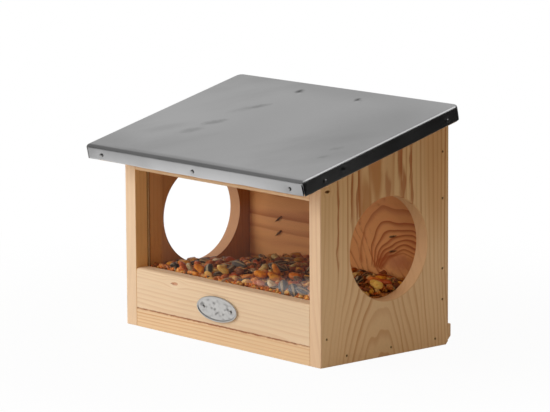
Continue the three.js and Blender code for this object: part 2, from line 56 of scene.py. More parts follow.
def linear(*screen):
    # A screen colour of 0 to 255 as the linear colour that a shader takes
    share = np.array(screen) / 255
    return (*np.where(share > 0.04045, ((share + 0.055) / 1.055) ** 2.4, share / 12.92), 1.0)


def nodePoints(node):
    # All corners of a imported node, one row each
    vertices = frame["nodes"][node].data.vertices
    points = np.empty(3 * len(vertices))
    vertices.foreach_get("co", points)
    return points.reshape(-1, 3)


def carried(points, place):
    # Points turned and moved by a 4 by 4 matrix
    turn = np.array(place)
    return points @ turn[:3, :3].T + turn[:3, 3]


def pieceName(node):
    # front_board becomes frontBoard
    first, *rest = node.split("_")
    return first + "".join(word.capitalize() for word in rest)


# Two frames about the pin's middle: y runs up the lid's slope in one and up the wall in the other
sideLow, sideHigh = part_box("side_panel_right")
sidePoints = nodePoints("side_panel_right")
sideFrontTop = sidePoints[sidePoints[:, 1] < sideLow.y + 0.1 * mm][:, 2].max()
pitch = math.atan2(sideHigh.z - sideFrontTop, sideHigh.y - sideLow.y)
pinPlace = Matrix.Translation(frame["joints"][0]["pos_m"])
lidPlace, wallPlace = (pinPlace @ Matrix.Rotation(turn, 4, "X") for turn in (pitch, quarter))
lidInverse = lidPlace.inverted()
lidTurn = lidPlace.to_3x3()


def boxInLid(node):
    # Lowest and highest corner of a node in the lid's frame
    points = carried(nodePoints(node), lidInverse)
    return Vector(points.min(0)), Vector(points.max(0))


# Meshes

def gridFaces(rows, columns, closeRows=False, caps=False):
    # Quads between neighbouring rows of a grid whose columns close on themselves; the caps are
    # a face over the first row and one over the last
    row = np.arange(rows if closeRows else rows - 1)[:, None]
    column = np.arange(columns)[None, :]
    nextRow, nextColumn = (row + 1) % rows, (column + 1) % columns
    corners = [row * columns + column, row * columns + nextColumn,
               nextRow * columns + nextColumn, nextRow * columns + column]
    ends = [list(range(start, start + columns)) for start in (0, (rows - 1) * columns)]
    return np.stack(corners, -1).reshape(-1, 4).tolist() + (ends if caps else [])


def addObject(name, data):
    made = bpy.data.objects.new(name, data)
    bpy.context.scene.collection.objects.link(made)
    return made


def addMesh(name, points, faces):
    mesh = bpy.data.meshes.new(name)
    mesh.from_pydata(np.asarray(points).reshape(-1, 3).tolist(), [], faces)
    return mesh


def shadeByAngle(piece, sharpAngle):
    piece.data.shade_smooth()
    piece.data.set_sharp_from_angle(angle=math.radians(sharpAngle))


def cleanPiece(name, mesh, sharpAngle, merge):
    # An object at the origin: doubles merged, faces turned outwards, shaded smooth up to the
    # sharp angle
    sketch = bmesh.new()
    sketch.from_mesh(mesh)
    bmesh.ops.remove_doubles(sketch, verts=sketch.verts, dist=merge)
    bmesh.ops.recalc_face_normals(sketch, faces=sketch.faces)
    sketch.to_mesh(mesh)
    sketch.free()
    piece = addObject(name, mesh)
    shadeByAngle(piece, sharpAngle)
    return piece


def makePiece(name, points, faces, sharpAngle):
    return cleanPiece(name, addMesh(name, points, faces), sharpAngle, 0.002 * mm)


def shell(name, grid, sharpAngle=32, closeRows=False, caps=True):
    # A piece whose skin is a grid of points, every row of it a closed loop
    return makePiece(name, grid, gridFaces(*grid.shape[:2], closeRows, caps and not closeRows), sharpAngle)


def cut(piece, cutters, operation="DIFFERENCE", sharpAngle=32):
    # Cuts the cutters out of a piece, or joins them to it, and keeps the result as its mesh
    for cutter in cutters:
        change = piece.modifiers.new("cut", "BOOLEAN")
        change.operation = operation
        change.solver = "EXACT"
        change.object = cutter
        mesh = bpy.data.meshes.new_from_object(piece.evaluated_get(bpy.context.evaluated_depsgraph_get()))
        piece.modifiers.clear()
        piece.data = mesh
        bpy.data.objects.remove(cutter)
    shadeByAngle(piece, sharpAngle)


def flatten(piece):
    # Large flat faces keep their own normals beside the small rounded rims
    piece.modifiers.new("flat faces first", "WEIGHTED_NORMAL").keep_sharp = True
    return piece


def unit(vectors):
    return vectors / np.linalg.norm(vectors, axis=-1, keepdims=True)


def curve(start, middle, end, steps):
    # A bend between two points: (1 - s)^2 start + 2 s (1 - s) middle + s^2 end
    share = np.linspace(0, 1, steps)[:, None]
    return (1 - share) ** 2 * start + 2 * share * (1 - share) * middle + share ** 2 * end


def roundedOutline(corners, radii, step):
    # A convex outline, counter-clockwise, each corner an arc about its own centre. Returns the
    # points and the directions out of them
    corners = np.array(corners, float)
    radii = np.broadcast_to(radii, len(corners))
    edges = np.roll(corners, -1, 0) - corners
    lengths = np.linalg.norm(edges, axis=1)
    along = unit(edges)
    out = np.stack([along[:, 1], -along[:, 0]], 1)
    before = np.roll(out, 1, 0)
    turns = np.arccos(np.clip((before * out).sum(1), -1, 1))
    tangents = radii * np.tan(turns / 2)
    points, directions = [], []
    for index, corner in enumerate(corners):
        mitre = (before[index] + out[index]) / (1 + before[index] @ out[index])
        count = max(5, int(turns[index] * radii[index] / step) + 2)
        start = math.atan2(before[index][1], before[index][0])
        angles = start + turns[index] * np.linspace(0, 1, count)
        outward = np.stack([np.cos(angles), np.sin(angles)], 1)
        straight = lengths[index] - tangents[index] - tangents[(index + 1) % len(corners)]
        count = max(2, int(straight / step) + 1)
        reach = tangents[index] + straight * np.linspace(0, 1, count + 1)[1:-1, None]
        points += [corner + radii[index] * (outward - mitre), corner + reach * along[index]]
        directions += [outward, np.broadcast_to(out[index], (len(reach), 2))]
    return np.concatenate(points), np.concatenate(directions)


def rimRows(low, high, ease):
    # Places along x and insets of both rims of a board, from its low face to its high face:
    # x = low + ease (1 - cos t), inset = ease (1 - sin t), and the same from the high face
    turn = np.linspace(0, quarter, 5)
    rise, inset = ease * (1 - np.cos(turn)), ease * (1 - np.sin(turn))
    return np.concatenate([low + rise, (high - rise)[::-1]]), np.concatenate([inset, inset[::-1]])


def standing(x, outlines):
    # Outlines in y and z, each standing at its own x
    return np.concatenate([np.broadcast_to(x[:, None, None], (*outlines.shape[:2], 1)), outlines], 2)


def board(name, corners, low, high, radii, ease, step=4 * mm):
    # A board: a rounded outline in y and z carried along x, with both rims rounded
    points, directions = roundedOutline(corners, radii, step)
    x, inset = rimRows(low, high, ease)
    return flatten(shell(name, standing(x, points - inset[:, None, None] * directions)))


def holedBoard(name, corners, low, high, radii, ease, centre, holeRadius, holeEase):
    # A board with a round hole: the section closes on itself like a ring, from the hole's rim
    # over one face, round the outline, back over the other face and through the hole
    points, directions = roundedOutline(corners, radii, 1.2 * mm)
    x, inset = rimRows(low, high, ease)
    outer = points - inset[:, None, None] * directions
    holeX, holeInset = rimRows(low, high, holeEase)
    inner = centre + (holeRadius + holeInset[::-1, None, None]) * unit(points - centre)
    share = np.array([0.25, 0.6, 0.93])[:, None, None]
    highFace = outer[-1] + share * (inner[0] - outer[-1])
    lowFace = inner[-1] + share * (outer[0] - inner[-1])
    x = np.concatenate([x, np.full(3, high), holeX[::-1], np.full(3, low)])
    return shell(name, standing(x, np.concatenate([outer, highFace, inner, lowFace])), closeRows=True)


def section(low, high, eased=0, slope=0):
    # A board's corners in y and z: its lower back edge may be taken off, and its top may slope
    back = [(high[1] - eased, low[2]), (high[1], low[2] + eased)] if eased else [(high[1], low[2])]
    return [(low[1], low[2]), *back, (high[1], high[2]), (low[1], high[2] - (high[1] - low[1]) * slope)]


def block(low, high):
    # A plain box to cut with
    ends = np.broadcast_to(np.array(section(low, high)), (2, 4, 2))
    return shell("block", standing(np.array([low[0], high[0]]), ends))


def sideBlock(side, inner, outer, low, high):
    # A box to cut with, between two distances from the middle on one side; y and z are given
    near, far = sorted((side * inner, side * outer))
    return block((near, *low), (far, *high))


def basis(direction):
    # A direction and two that stand square to it
    direction = Vector(direction).normalized()
    side = direction.cross(Vector((0, 0, 1)) if abs(direction.z) < 0.9 else Vector((1, 0, 0)))
    side.normalize()
    return np.array(direction), np.array(side), np.array(direction.cross(side))


def turned(name, start, direction, profile, steps=28, sharpAngle=32):
    # A profile of radius and reach turned about a direction: point = start + reach along the
    # direction + radius (cos a, sin a) across it
    along, side, up = basis(direction)
    radius, reach = np.array(profile, float).T[:, :, None, None]
    angle = np.linspace(0, 2 * math.pi, steps, endpoint=False)[None, :, None]
    points = np.array(start) + reach * along + radius * (np.cos(angle) * side + np.sin(angle) * up)
    return shell(name, points, sharpAngle, caps=False)


def drill(start, direction, radius, reach, steps):
    # A round bar to cut with
    return turned("drill", start, direction, [(0, 0), (radius, 0), (radius, reach), (0, reach)], steps)


def finished(piece, body, slot, material, *nodes):
    # Gives a piece its material and its body, and hides the nodes that it stands for; the slot is not used
    piece.data.materials.clear()
    piece.data.materials.append(material)
    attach(piece, body)
    if nodes:
        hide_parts(*nodes)


# Shader nodes

def isSocket(value):
    return isinstance(value, bpy.types.NodeSocket)


def fill(node, inputs):
    # Fills a node's sockets, with links from other sockets or with constants
    for key, value in inputs.items():
        if isSocket(value):
            node.id_data.links.new(value, node.inputs[key])
        else:
            node.inputs[key].default_value = value


def addNode(tree, kind, inputs=None, **settings):
    made = tree.nodes.new("ShaderNode" + kind)
    for name, value in settings.items():
        setattr(made, name, value)
    fill(made, inputs or {})
    return made


def wire(kind, inputs, output=0, **settings):
    # One output of a new node, in the tree that its linked sockets belong to
    tree = next(value.id_data for value in inputs.values() if isSocket(value))
    return addNode(tree, kind, inputs, **settings).outputs[output]


def maths(operation, *values):
    return wire("Math", dict(enumerate(values)), operation=operation)


def vectors(operation, *values, output=0):
    return wire("VectorMath", dict(enumerate(values)), output, operation=operation)


def total(first, *others):
    for other in others:
        first = maths("ADD", first, other)
    return first


def product(first, *others):
    for other in others:
        first = maths("MULTIPLY", first, other)
    return first


def less(first, second):
    return maths("SUBTRACT", first, second)


def scaled(vector, factors):
    return vectors("MULTIPLY", vector, factors)


def offset(place, middle):
    return vectors("SUBTRACT", place, middle)


def norm(vector):
    return vectors("LENGTH", vector, output="Value")


def axesOf(vector):
    return addNode(vector.id_data, "SeparateXYZ", {0: vector}).outputs


def ramp(value, low, high, fromLow=0.0, fromHigh=1.0, kind="SMOOTHSTEP"):
    # A smooth step from fromLow to fromHigh as the value goes from low to high
    inputs = {"Value": value, "From Min": low, "From Max": high, "To Min": fromLow, "To Max": fromHigh}
    return wire("MapRange", inputs, "Result", interpolation_type=kind)


def noise(place, scale, detail, output="Fac"):
    return wire("TexNoise", {"Vector": place, "Scale": scale, "Detail": detail}, output)


def wander(place, scale, detail, reach):
    # A vector of noise about zero, times its reach
    return scaled(offset(noise(place, scale, detail, "Color"), (0.5, 0.5, 0.5)), reach)


def drawnOut(place, share, scale, detail):
    # Noise that is drawn out along z
    return noise(scaled(place, (1, 1, share)), scale, detail)


def blendColours(factor, first, second, kind="MIX"):
    return wire("Mix", {0: factor, 6: first, 7: second}, 2, data_type="RGBA", blend_type=kind)


def blendValues(factor, first, second):
    return wire("Mix", {0: factor, 2: first, 3: second}, data_type="FLOAT")


def newGroup(name, inputs, outputs):
    # A node group with its sockets listed by kind: returns it, its inputs and its end
    tree = bpy.data.node_groups.new(name, "ShaderNodeTree")
    for direction, kinds in (("INPUT", inputs), ("OUTPUT", outputs)):
        for kind, names in kinds.items():
            for socketName in names.split():
                tree.interface.new_socket(socketName, in_out=direction, socket_type="NodeSocket" + kind)
    return tree, tree.nodes.new("NodeGroupInput").outputs, tree.nodes.new("NodeGroupOutput")


def useGroup(group, **inputs):
    tree = next(value.id_data for value in inputs.values() if isSocket(value))
    return addNode(tree, "Group", inputs, node_tree=group).outputs


def newMaterial(name, shade=None):
    # An empty material with one Principled shader: returns it, its tree and the shader
    material = bpy.data.materials.new(name)
    material.use_nodes = True
    tree = material.node_tree
    tree.nodes.clear()
    shader = addNode(tree, "BsdfPrincipled", shade)
    addNode(tree, "OutputMaterial", {"Surface": shader.outputs[0]})
    return material, tree, shader


def objectPlace(tree):
    return addNode(tree, "TexCoord").outputs["Object"]


def surface(shader, colour, roughness, height, distance):
    # Colour and roughness of a shader, and the bump of a height
    bump = wire("Bump", {"Height": height, "Distance": distance})
    fill(shader, {"Base Color": colour, "Roughness": roughness, "Normal": bump})


def makePineGroup():
    # Growth rings: the distance from the trunk's middle line over the ring width, swung by slow
    # noise. Each ring darkens slowly and ends sharply; its strength is its own
    tree, entry, leave = newGroup(
        "pineGrain",
        {"Vector": "Place", "Float": "RingWidth Swirl Soft Least Contrast", "Color": "Early Late"},
        {"Color": "Colour", "Float": "Height Roughness"})
    place = entry["Place"]
    swing = wander(scaled(place, (1, 1, 0.16)), 26.0, 2.5, (1, 1, 0))
    swung = scaled(vectors("ADD", place, scaled(swing, entry["Swirl"])), (1, 1, 0))
    rings = maths("DIVIDE", norm(swung), entry["RingWidth"])
    rings = total(rings, product(drawnOut(place, 0.06, 60.0, 1.0), 1.6))
    phase = maths("FRACT", rings)
    ringTone = wire("TexWhiteNoise", {"W": maths("FLOOR", rings)}, "Value", noise_dimensions="1D")
    late = product(ramp(phase, entry["Soft"], 0.88), ramp(phase, 1.0, 0.9),
                   ramp(ringTone, -0.2, 1.0, entry["Least"], 1.0),
                   ramp(drawnOut(place, 0.3, 38.0, 1.0), 0.3, 0.65, 0.55, 1.0))
    fibres, cloud = drawnOut(place, 0.02, 1700.0, 3.0), drawnOut(place, 0.35, 17.0, 3.0)
    tone = total(product(fibres, 0.16), product(cloud, 0.2), 0.82)
    mixed = blendColours(product(late, entry["Contrast"]), entry["Early"], entry["Late"])
    fill(leave, {"Colour": scaled(mixed, tone), "Roughness": ramp(fibres, 0.2, 0.8, 0.52, 0.68),
                 "Height": total(product(late, 0.5), product(fibres, 0.7))})
    return tree


def makeKnotGroup():
    # A knot: rings about its own middle, and a push that bends the grain round it
    tree, entry, leave = newGroup("pineKnot", {"Vector": "Place Middle Size", "Float": "Push"},
                                  {"Float": "Mask Rings", "Vector": "Bend"})
    ratio = vectors("DIVIDE", offset(entry["Place"], entry["Middle"]), entry["Size"])
    reach = norm(vectors("ADD", ratio, wander(entry["Place"], 260.0, 2.0, (0.7, 0.7, 0.7))))
    fill(leave, {"Mask": ramp(reach, 1.15, 0.65),
                 "Rings": total(product(maths("SINE", product(reach, 14.0)), 0.5), 0.5),
                 "Bend": scaled(ratio, product(ramp(reach, 4.5, 0.4), entry["Push"]))})
    return tree


def makeSpotGroup():
    # A soft spot: 1 in the middle, 0 outside, on an ellipsoid with ragged edges
    tree, entry, leave = newGroup("softSpot", {"Vector": "Place Middle Size", "Float": "Turn Ragged"},
                                  {"Float": "Mask"})
    away = offset(entry["Place"], entry["Middle"])
    away = wire("VectorRotate", {"Vector": away, "Angle": entry["Turn"]}, rotation_type="Z_AXIS")
    ratio = vectors("DIVIDE", away, entry["Size"])
    reach = norm(vectors("ADD", ratio, wander(entry["Place"], 240.0, 3.0, entry["Ragged"])))
    fill(leave, {"Mask": ramp(reach, 1.0, 0.1)})
    return tree


def makeBandGroup():
    # A darker band that runs with the grain: flat in the middle, wavering edges along z
    tree, entry, leave = newGroup("grainBand", {"Vector": "Place Middle Size"}, {"Float": "Mask"})
    waver = wander(scaled(entry["Place"], (1, 1, 0.3)), 110.0, 2.0, (0, 9 * mm, 0))
    away = offset(vectors("ADD", entry["Place"], waver), entry["Middle"])
    fill(leave, {"Mask": ramp(norm(vectors("DIVIDE", away, entry["Size"])), 1.0, 0.4)})
    return tree


def makeArcGroup():
    # One growth ring cut as an arch: a quarter of an ellipse that leaves its corner upwards,
    # bends level and runs on to the right. It darkens slowly outwards and ends sharply
    tree, entry, leave = newGroup(
        "grainArc", {"Vector": "Place Corner Size", "Float": "Fade"}, {"Float": "Mask"})
    waver = wander(entry["Place"], 42.0, 1.0, (10 * mm, 0, 10 * mm))
    away = axesOf(offset(vectors("ADD", entry["Place"], waver), entry["Corner"]))
    size = axesOf(entry["Size"])
    side = maths("MINIMUM", less(maths("DIVIDE", away["X"], size["X"]), 1.0), 0.0)
    rise = maths("DIVIDE", away["Z"], size["Z"])
    reach = maths("SQRT", total(maths("POWER", side, 2.0), maths("POWER", rise, 2.0)))
    out = product(less(reach, 1.0), size["Z"])
    slowly = maths("POWER", ramp(maths("DIVIDE", out, entry["Fade"]), -1.0, 0.0), 1.6)
    fill(leave, {"Mask": product(slowly, ramp(out, 0.7 * mm, 0.0), ramp(rise, 0.0, 0.1))})
    return tree


def makeMetalGroup():
    # Sheet and fittings: cloudy tone, fine speckle and a wandering roughness
    tree, entry, leave = newGroup(
        "wornMetal", {"Vector": "Place", "Color": "Colour", "Float": "Cloud Low High"},
        {"Color": "Colour", "Float": "Height Roughness"})
    grains = (22.0, 4.0), (9.0, 1.0), (900.0, 2.0)
    cloud, wide, speckle = (noise(entry["Place"], *grain) for grain in grains)
    tone = total(product(less(total(cloud, wide), 1.0), entry["Cloud"]), 0.97, product(speckle, 0.06))
    fill(leave, {"Colour": scaled(entry["Colour"], tone), "Height": total(product(cloud, 0.4), speckle),
                 "Roughness": ramp(cloud, 0.3, 0.7, entry["Low"], entry["High"], "LINEAR")})
    return tree


pineGrain, pineKnot, softSpot = makePineGroup(), makeKnotGroup(), makeSpotGroup()
grainBand, grainArc, wornMetal = makeBandGroup(), makeArcGroup(), makeMetalGroup()


def paintedOver(colour, depth, markColour, group, **inputs):
    # A mark over a colour, under a group's mask times its depth: a stain, a grain mark, painted shade or a painted
    # highlight
    return blendColours(product(useGroup(group, **inputs)["Mask"], depth), colour, markColour)


def pineMaterial(name, look):
    # Bare pine: the trunk's middle line is placed by a Mapping node, and a knot bends the grain.
    # A sweep moves the pattern slowly along the board, fades and a calm place weaken it, and a
    # bore shows its grain end on, darkened as end grain and partly as painted shade. Over it lie
    # the knot, marks (stains, painted shade in the roof board's notch, and partly painted shade
    # along the front seam), bands along the grain, arcs of single rings on the wall's inner face,
    # and tints, each between its own limits, which hold painted shade inside the box and under
    # the eave along with some browning of the wood
    material, tree, shader = newMaterial(name, {"Specular IOR Level": 0.3})
    place = objectPlace(tree)
    axes = axesOf(place)
    bent, contrast, knot = place, look["contrast"], look.get("knot")
    if knot:
        parts = useGroup(pineKnot, Place=place, Middle=knot["middle"], Size=knot["size"], Push=knot["push"])
        bent = offset(bent, parts["Bend"])
    if "sweep" in look:
        axis, low, high, amount = look["sweep"]
        bent = vectors("ADD", bent, scaled(ramp(axes[axis], low, high), amount))
    if "arcs" in look:
        onFace = ramp(axes["Y"], wallFace + 0.6 * mm, wallFace + 0.3 * mm)
        middle, size, depth = look["calm"]
        calm = useGroup(softSpot, Place=place, Middle=middle, Size=size, Ragged=1.0)["Mask"]
        contrast = product(contrast, less(1.0, product(calm, onFace, depth)))
    for axis, low, high, weak in look.get("fades", []):
        contrast = product(contrast, ramp(axes[axis], low, high, weak, 1.0))
    if "bore" in look:
        middle, radius, boreTint = look["bore"]
        away = norm(scaled(offset(place, middle), (0, 1, 1)))
        inBore = ramp(away, radius + 0.9 * mm, radius + 0.5 * mm)
        contrast = product(contrast, less(1.0, product(inBore, 0.8)))
    trunk = wire("Mapping", {"Vector": bent, "Location": look["pith"], "Rotation": look["turn"]})
    grain = useGroup(
        pineGrain, Place=trunk, RingWidth=look["ringWidth"], Swirl=look["swirl"], Soft=look.get("soft", 0.25),
        Least=look.get("least", 0.15), Early=look["early"], Late=look["late"], Contrast=contrast)
    colour = grain["Colour"]
    # The bore is darkened by its tint: end grain, and partly painted shade
    if "bore" in look:
        colour = blendColours(inBore, colour, boreTint, "MULTIPLY")
    if knot:
        colour = blendColours(parts["Mask"], colour, blendColours(parts["Rings"], knot["dark"], knot["pale"]))
    # Marks: stains and knot halos, painted shade in the roof board's notch, and partly painted shade along the
    # front seam
    for middle, size, depth, markColour in look.get("marks", []):
        colour = paintedOver(colour, depth, markColour, softSpot, Place=place, Middle=middle, Size=size, Ragged=1.0)
    for middle, size, depth, markColour in look.get("bands", []):
        colour = paintedOver(colour, depth, markColour, grainBand, Place=place, Middle=middle, Size=size)
    for corner, size, fade, depth in look.get("arcs", []):
        colour = paintedOver(colour, product(onFace, depth), look["late"], grainArc,
                         Place=place, Corner=corner, Size=size, Fade=fade)
    # Tints: painted shade inside the box and under the eave, with some browning of the wood
    for tint, *limits in look.get("tints", []):
        share = product(1.0, *(ramp(axes[axis], low, high) for axis, low, high in limits))
        colour = blendColours(share, colour, (*tint, 1), "MULTIPLY")
    surface(shader, colour, grain["Roughness"], grain["Height"], 0.12 * mm)
    return material


def metalMaterial(name, look):
    # Bare or plated metal: streaks at an angle where the sheet was rubbed, single smudges, and where a look lists
    # them, painted shade, painted reflections and painted glints
    material, tree, shader = newMaterial(name, {"Metallic": 1.0})
    place = objectPlace(tree)
    metal = useGroup(wornMetal, Place=place, Colour=look["colour"], Cloud=look["cloud"],
                     Low=look["rough"][0], High=look["rough"][1])
    colour, roughness = metal["Colour"], metal["Roughness"]
    if "streak" in look:
        turn, depth = look["streak"]
        rubbed = wire("VectorRotate", {"Vector": place, "Angle": turn}, rotation_type="Z_AXIS")
        streak = ramp(noise(scaled(rubbed, (9, 22, 9)), 1.0, 4.0), 0.44, 0.74)
        colour = blendColours(product(streak, depth), colour, look["rubbed"])
        roughness = total(roughness, product(streak, 0.06))
    # Smudges with painted shade and reflection, painted glints, and painted shade in dents and the slit, each with
    # its tone
    for kind, tone in (("spots", "rubbed"), ("glints", "bright"), ("pits", "dark")):
        for middle, size, turn, depth in look.get(kind, []):
            colour = paintedOver(colour, depth, look[tone], softSpot, Place=place, Middle=middle, Size=size,
                             Turn=turn, Ragged=min(1.0, 12 * mm / size[0]))
    surface(shader, colour, roughness, metal["Height"], look["relief"])
    return material


# Pine boards: where the wall and the pane begin, and the looks. A mark or band is its middle,
# its half size, its depth and its colour; some marks are stains and some are painted shade

innerFace = -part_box("side_panel_left")[1].x
paneFace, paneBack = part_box("window_pane")[0].y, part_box("window_pane")[1].y
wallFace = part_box("back_wall")[0].y
edge = 0.3 * mm


def inMm(*values):
    return tuple(value * mm for value in values)


crossLook = {"turn": (0, -quarter, 0)}  # the trunk lies along x
# A reddish line along the seam of sill and front board: partly the wood's darker edge, partly painted shade in the
# groove between them
seamStainAndShade = linear(160, 84, 44)
frontLook = {
    **crossLook, "pith": (0.012, 0.078, 0), "ringWidth": 2.2 * mm, "swirl": 8 * mm,
    "early": linear(238, 211, 177), "late": linear(208, 158, 112), "contrast": 0.38, "soft": 0.3,
    "knot": {"middle": (-0.0537, sideLow.y, 0.0393), "size": inMm(4.2, 9, 1.4), "push": 1.6 * mm,
             "dark": linear(190, 118, 82), "pale": linear(224, 180, 142)},
    "marks": [((-0.0537, sideLow.y, 0.0365), inMm(7, 9, 3.4), 0.5, linear(246, 224, 194)),
              ((-0.056, sideLow.y, 0.0389), inMm(3.2, 9, 0.6), 0.8, linear(150, 82, 52)),
              ((0, sideLow.y, 0.0143), inMm(200, 3, 1.2), 0.75, seamStainAndShade)],
}
sillLook = {
    **crossLook, "pith": (-0.06, 0.02, 0), "ringWidth": 2.3 * mm, "swirl": 4 * mm,
    "early": linear(241, 208, 166), "late": linear(210, 150, 100), "contrast": 0.7, "soft": 0.4,
    "marks": [((0, sideLow.y, 0.0145), inMm(200, 3, 1.6), 0.9, seamStainAndShade)],
}
floorLook = {
    **crossLook, "pith": (0.05, 0.01, 0), "ringWidth": 3.2 * mm, "swirl": 9 * mm,
    "early": linear(228, 192, 150), "late": linear(188, 128, 80), "contrast": 0.7,
}
wallInside = (1, wallFace + edge, wallFace + edge / 3)
# Each arc: how far right its corner is, its width, its height, its fade and its depth
wallArcs = [(29, 28, 49, 7, 0.6), (40, 22, 38.5, 6, 0.85), (43, 30, 32.5, 3.6, 0.9), (46, 34, 28.6, 3, 0.9),
            (48, 36, 25, 3, 0.95), (50, 38, 21.6, 3, 0.95), (52, 38, 18, 2.6, 0.8), (44, 36, 14, 1.6, 0.6)]
wallLook = {
    **crossLook, "pith": (0.100, -0.1139, 0), "ringWidth": 6.4 * mm, "swirl": 20 * mm,
    "early": linear(234, 196, 152), "late": linear(172, 98, 46), "contrast": 0.85, "soft": 0.5,
    "sweep": (0, -0.02, 0.095, (0, 0.054, 0.045)),
    "calm": ((0.064, wallFace, 0.084), inMm(60, 20, 50), 1.3),
    "marks": [((0.072, wallFace, 0.0575), inMm(32, 9, 10), 0.9, linear(200, 150, 124))],
    "arcs": [(inMm(x, 0, 50), inMm(wide, 1000, tall), fade * mm, depth)
             for x, wide, tall, fade, depth in wallArcs],
    # Inside, the wall is warmer and darker, painted shade with some browning of the wood, and darker still towards
    # its right end, which is painted shade
    "tints": [((1.0, 0.70, 0.45), wallInside), ((0.76, 0.68, 0.55), wallInside, (0, 0.05, 0.09))],
}
# Tints of a side panel's inner face behind the pane and before it, for the right one and the left one: painted
# shade with some browning of the wood, darker on the left panel as painted shade
panelInside = {1: ((0.85, 0.62, 0.42), (1.0, 0.87, 0.62)), -1: ((0.74, 0.52, 0.32), (0.91, 0.77, 0.50))}


def panelTints(side):
    # Inside the room a side panel is darker and browner, painted shade with some browning of the
    # wood, and darkest as painted shade at the groove's lips and in the left panel's back corner;
    # outside it has browned, and it darkens towards the top, which is painted shade under the eave
    inner = (0, side * (innerFace + edge), side * (innerFace + edge / 3))
    outer = (0, inner[2], inner[1])
    flat = (1, sideLow.y + 0.5 * mm, sideLow.y + 1.5 * mm)
    room, strip = panelInside[side]
    lips = [(1, paneFace - 1.5 * mm, paneFace - 0.6 * mm), (1, paneBack + 1.5 * mm, paneBack + 0.6 * mm)]
    # Painted shade in the left panel's back corner
    corner = [((0.72, 0.62, 0.54), inner, (1, -0.012, 0.048))] if side < 0 else []
    return corner + [
        (room, inner, (1, paneFace - edge, paneFace + edge)),
        (strip, inner, (1, paneFace + edge, paneFace - edge)),
        # Painted shade at the groove's lips; outside, browning, and painted shade under the eave towards the top
        ((0.42, 0.32, 0.22), inner, *lips), ((0.98, 0.985, 0.89), outer, flat),
        ((0.86, 0.81, 0.69), outer, flat, (2, 0.05, 0.15))]


# Bands of the right panel by their colour: middle in y and z, half width and height, and depth. The first, broad
# one darkens the panel's upper back: partly darker wood, partly painted shade under the eave
panelBands = {
    linear(206, 146, 94): [(50, 140, 17, 75, 0.35)],
    linear(196, 134, 82): [(-9, 138, 9, 36, 0.8), (-19, 114, 4.6, 30, 0.7)],
    linear(176, 102, 54): [
        (2.4, 125, 2.6, 17, 0.55), (14.4, 146, 3.6, 20, 0.75), (17.8, 124, 3.2, 20, 0.75),
        (24.2, 140, 1.6, 20, 0.7), (26.8, 120, 1.6, 20, 0.7), (-26.4, 124, 1.6, 30, 0.75),
        (-32.8, 123, 1.8, 28, 0.8), (-46, 105, 1.4, 56, 0.7)],
}
panelLook = {
    "turn": (0, 0, 0), "ringWidth": 3.1 * mm, "swirl": 7 * mm, "late": linear(182, 106, 50),
    "soft": 0.4, "least": 0.3, "fades": [(1, -0.052, -0.022, 0.35), (2, 0.045, 0.105, 0.55)],
}
rightPanelLook = {
    **panelLook, "pith": (-0.0843, 0.0065, 0), "early": linear(235, 202, 166), "contrast": 1.0,
    # The bore is darkened as end grain and partly as painted shade
    "sweep": (2, -0.03, 0.07, (0.014, 0, 0)), "boreTint": (0.90, 0.80, 0.74, 1), "tints": panelTints(1),
    "knot": {"middle": (sideHigh.x, -0.0568, 0.1288), "size": inMm(5, 2.6, 1.2), "push": 1.2 * mm,
             "dark": linear(100, 62, 22), "pale": linear(146, 98, 46)},
    "bands": [((sideHigh.x, *inMm(y, z)), inMm(6, wide, tall), depth, markColour)
              for markColour, rows in panelBands.items() for y, z, wide, tall, depth in rows],
}
leftPanelLook = {
    **panelLook, "pith": (0.0858, 0.0065, 0), "early": linear(243, 212, 177), "contrast": 0.4,
    # The left panel's bore and inner faces are darker than the right's: painted shade
    "sweep": (2, -0.03, 0.07, (-0.014, 0, 0)), "boreTint": (0.72, 0.51, 0.43, 1), "tints": panelTints(-1),
}
sawn, planed, backEase, battenEase, holeEase, frontTopEase = inMm(0.45, 0.9, 2.2, 2.6, 0.5, 2.6)


def crossPiece(node, name, look, radii=sawn, eased=0, slope=0):
    # A board across the box
    low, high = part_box(node)
    piece = board(pieceName(node), section(low, high, eased, slope), low.x, high.x, radii, sawn)
    finished(piece, "box", "pine", pineMaterial(name, look), node)


def fastenerPlace(node, into):
    # A fastener's head, direction, length and head radius: its box measured along its direction
    points = nodePoints(node)
    along, side, up = basis(into)
    reach, across, rise = points @ along, points @ side, points @ up
    head = reach.min() * along + (across.min() + across.max()) / 2 * side + (rise.min() + rise.max()) / 2 * up
    return head, np.array(into), reach.max() - reach.min(), (across.max() - across.min()) / 2


# The entrance's radius at most, the groove's depth, and the bore for a brad
panelShape = {"entrance": 45 * mm, "groove": 2 * mm, "past": 10 * mm, "bore": 1.0 * mm, "boreDepth": 8 * mm}


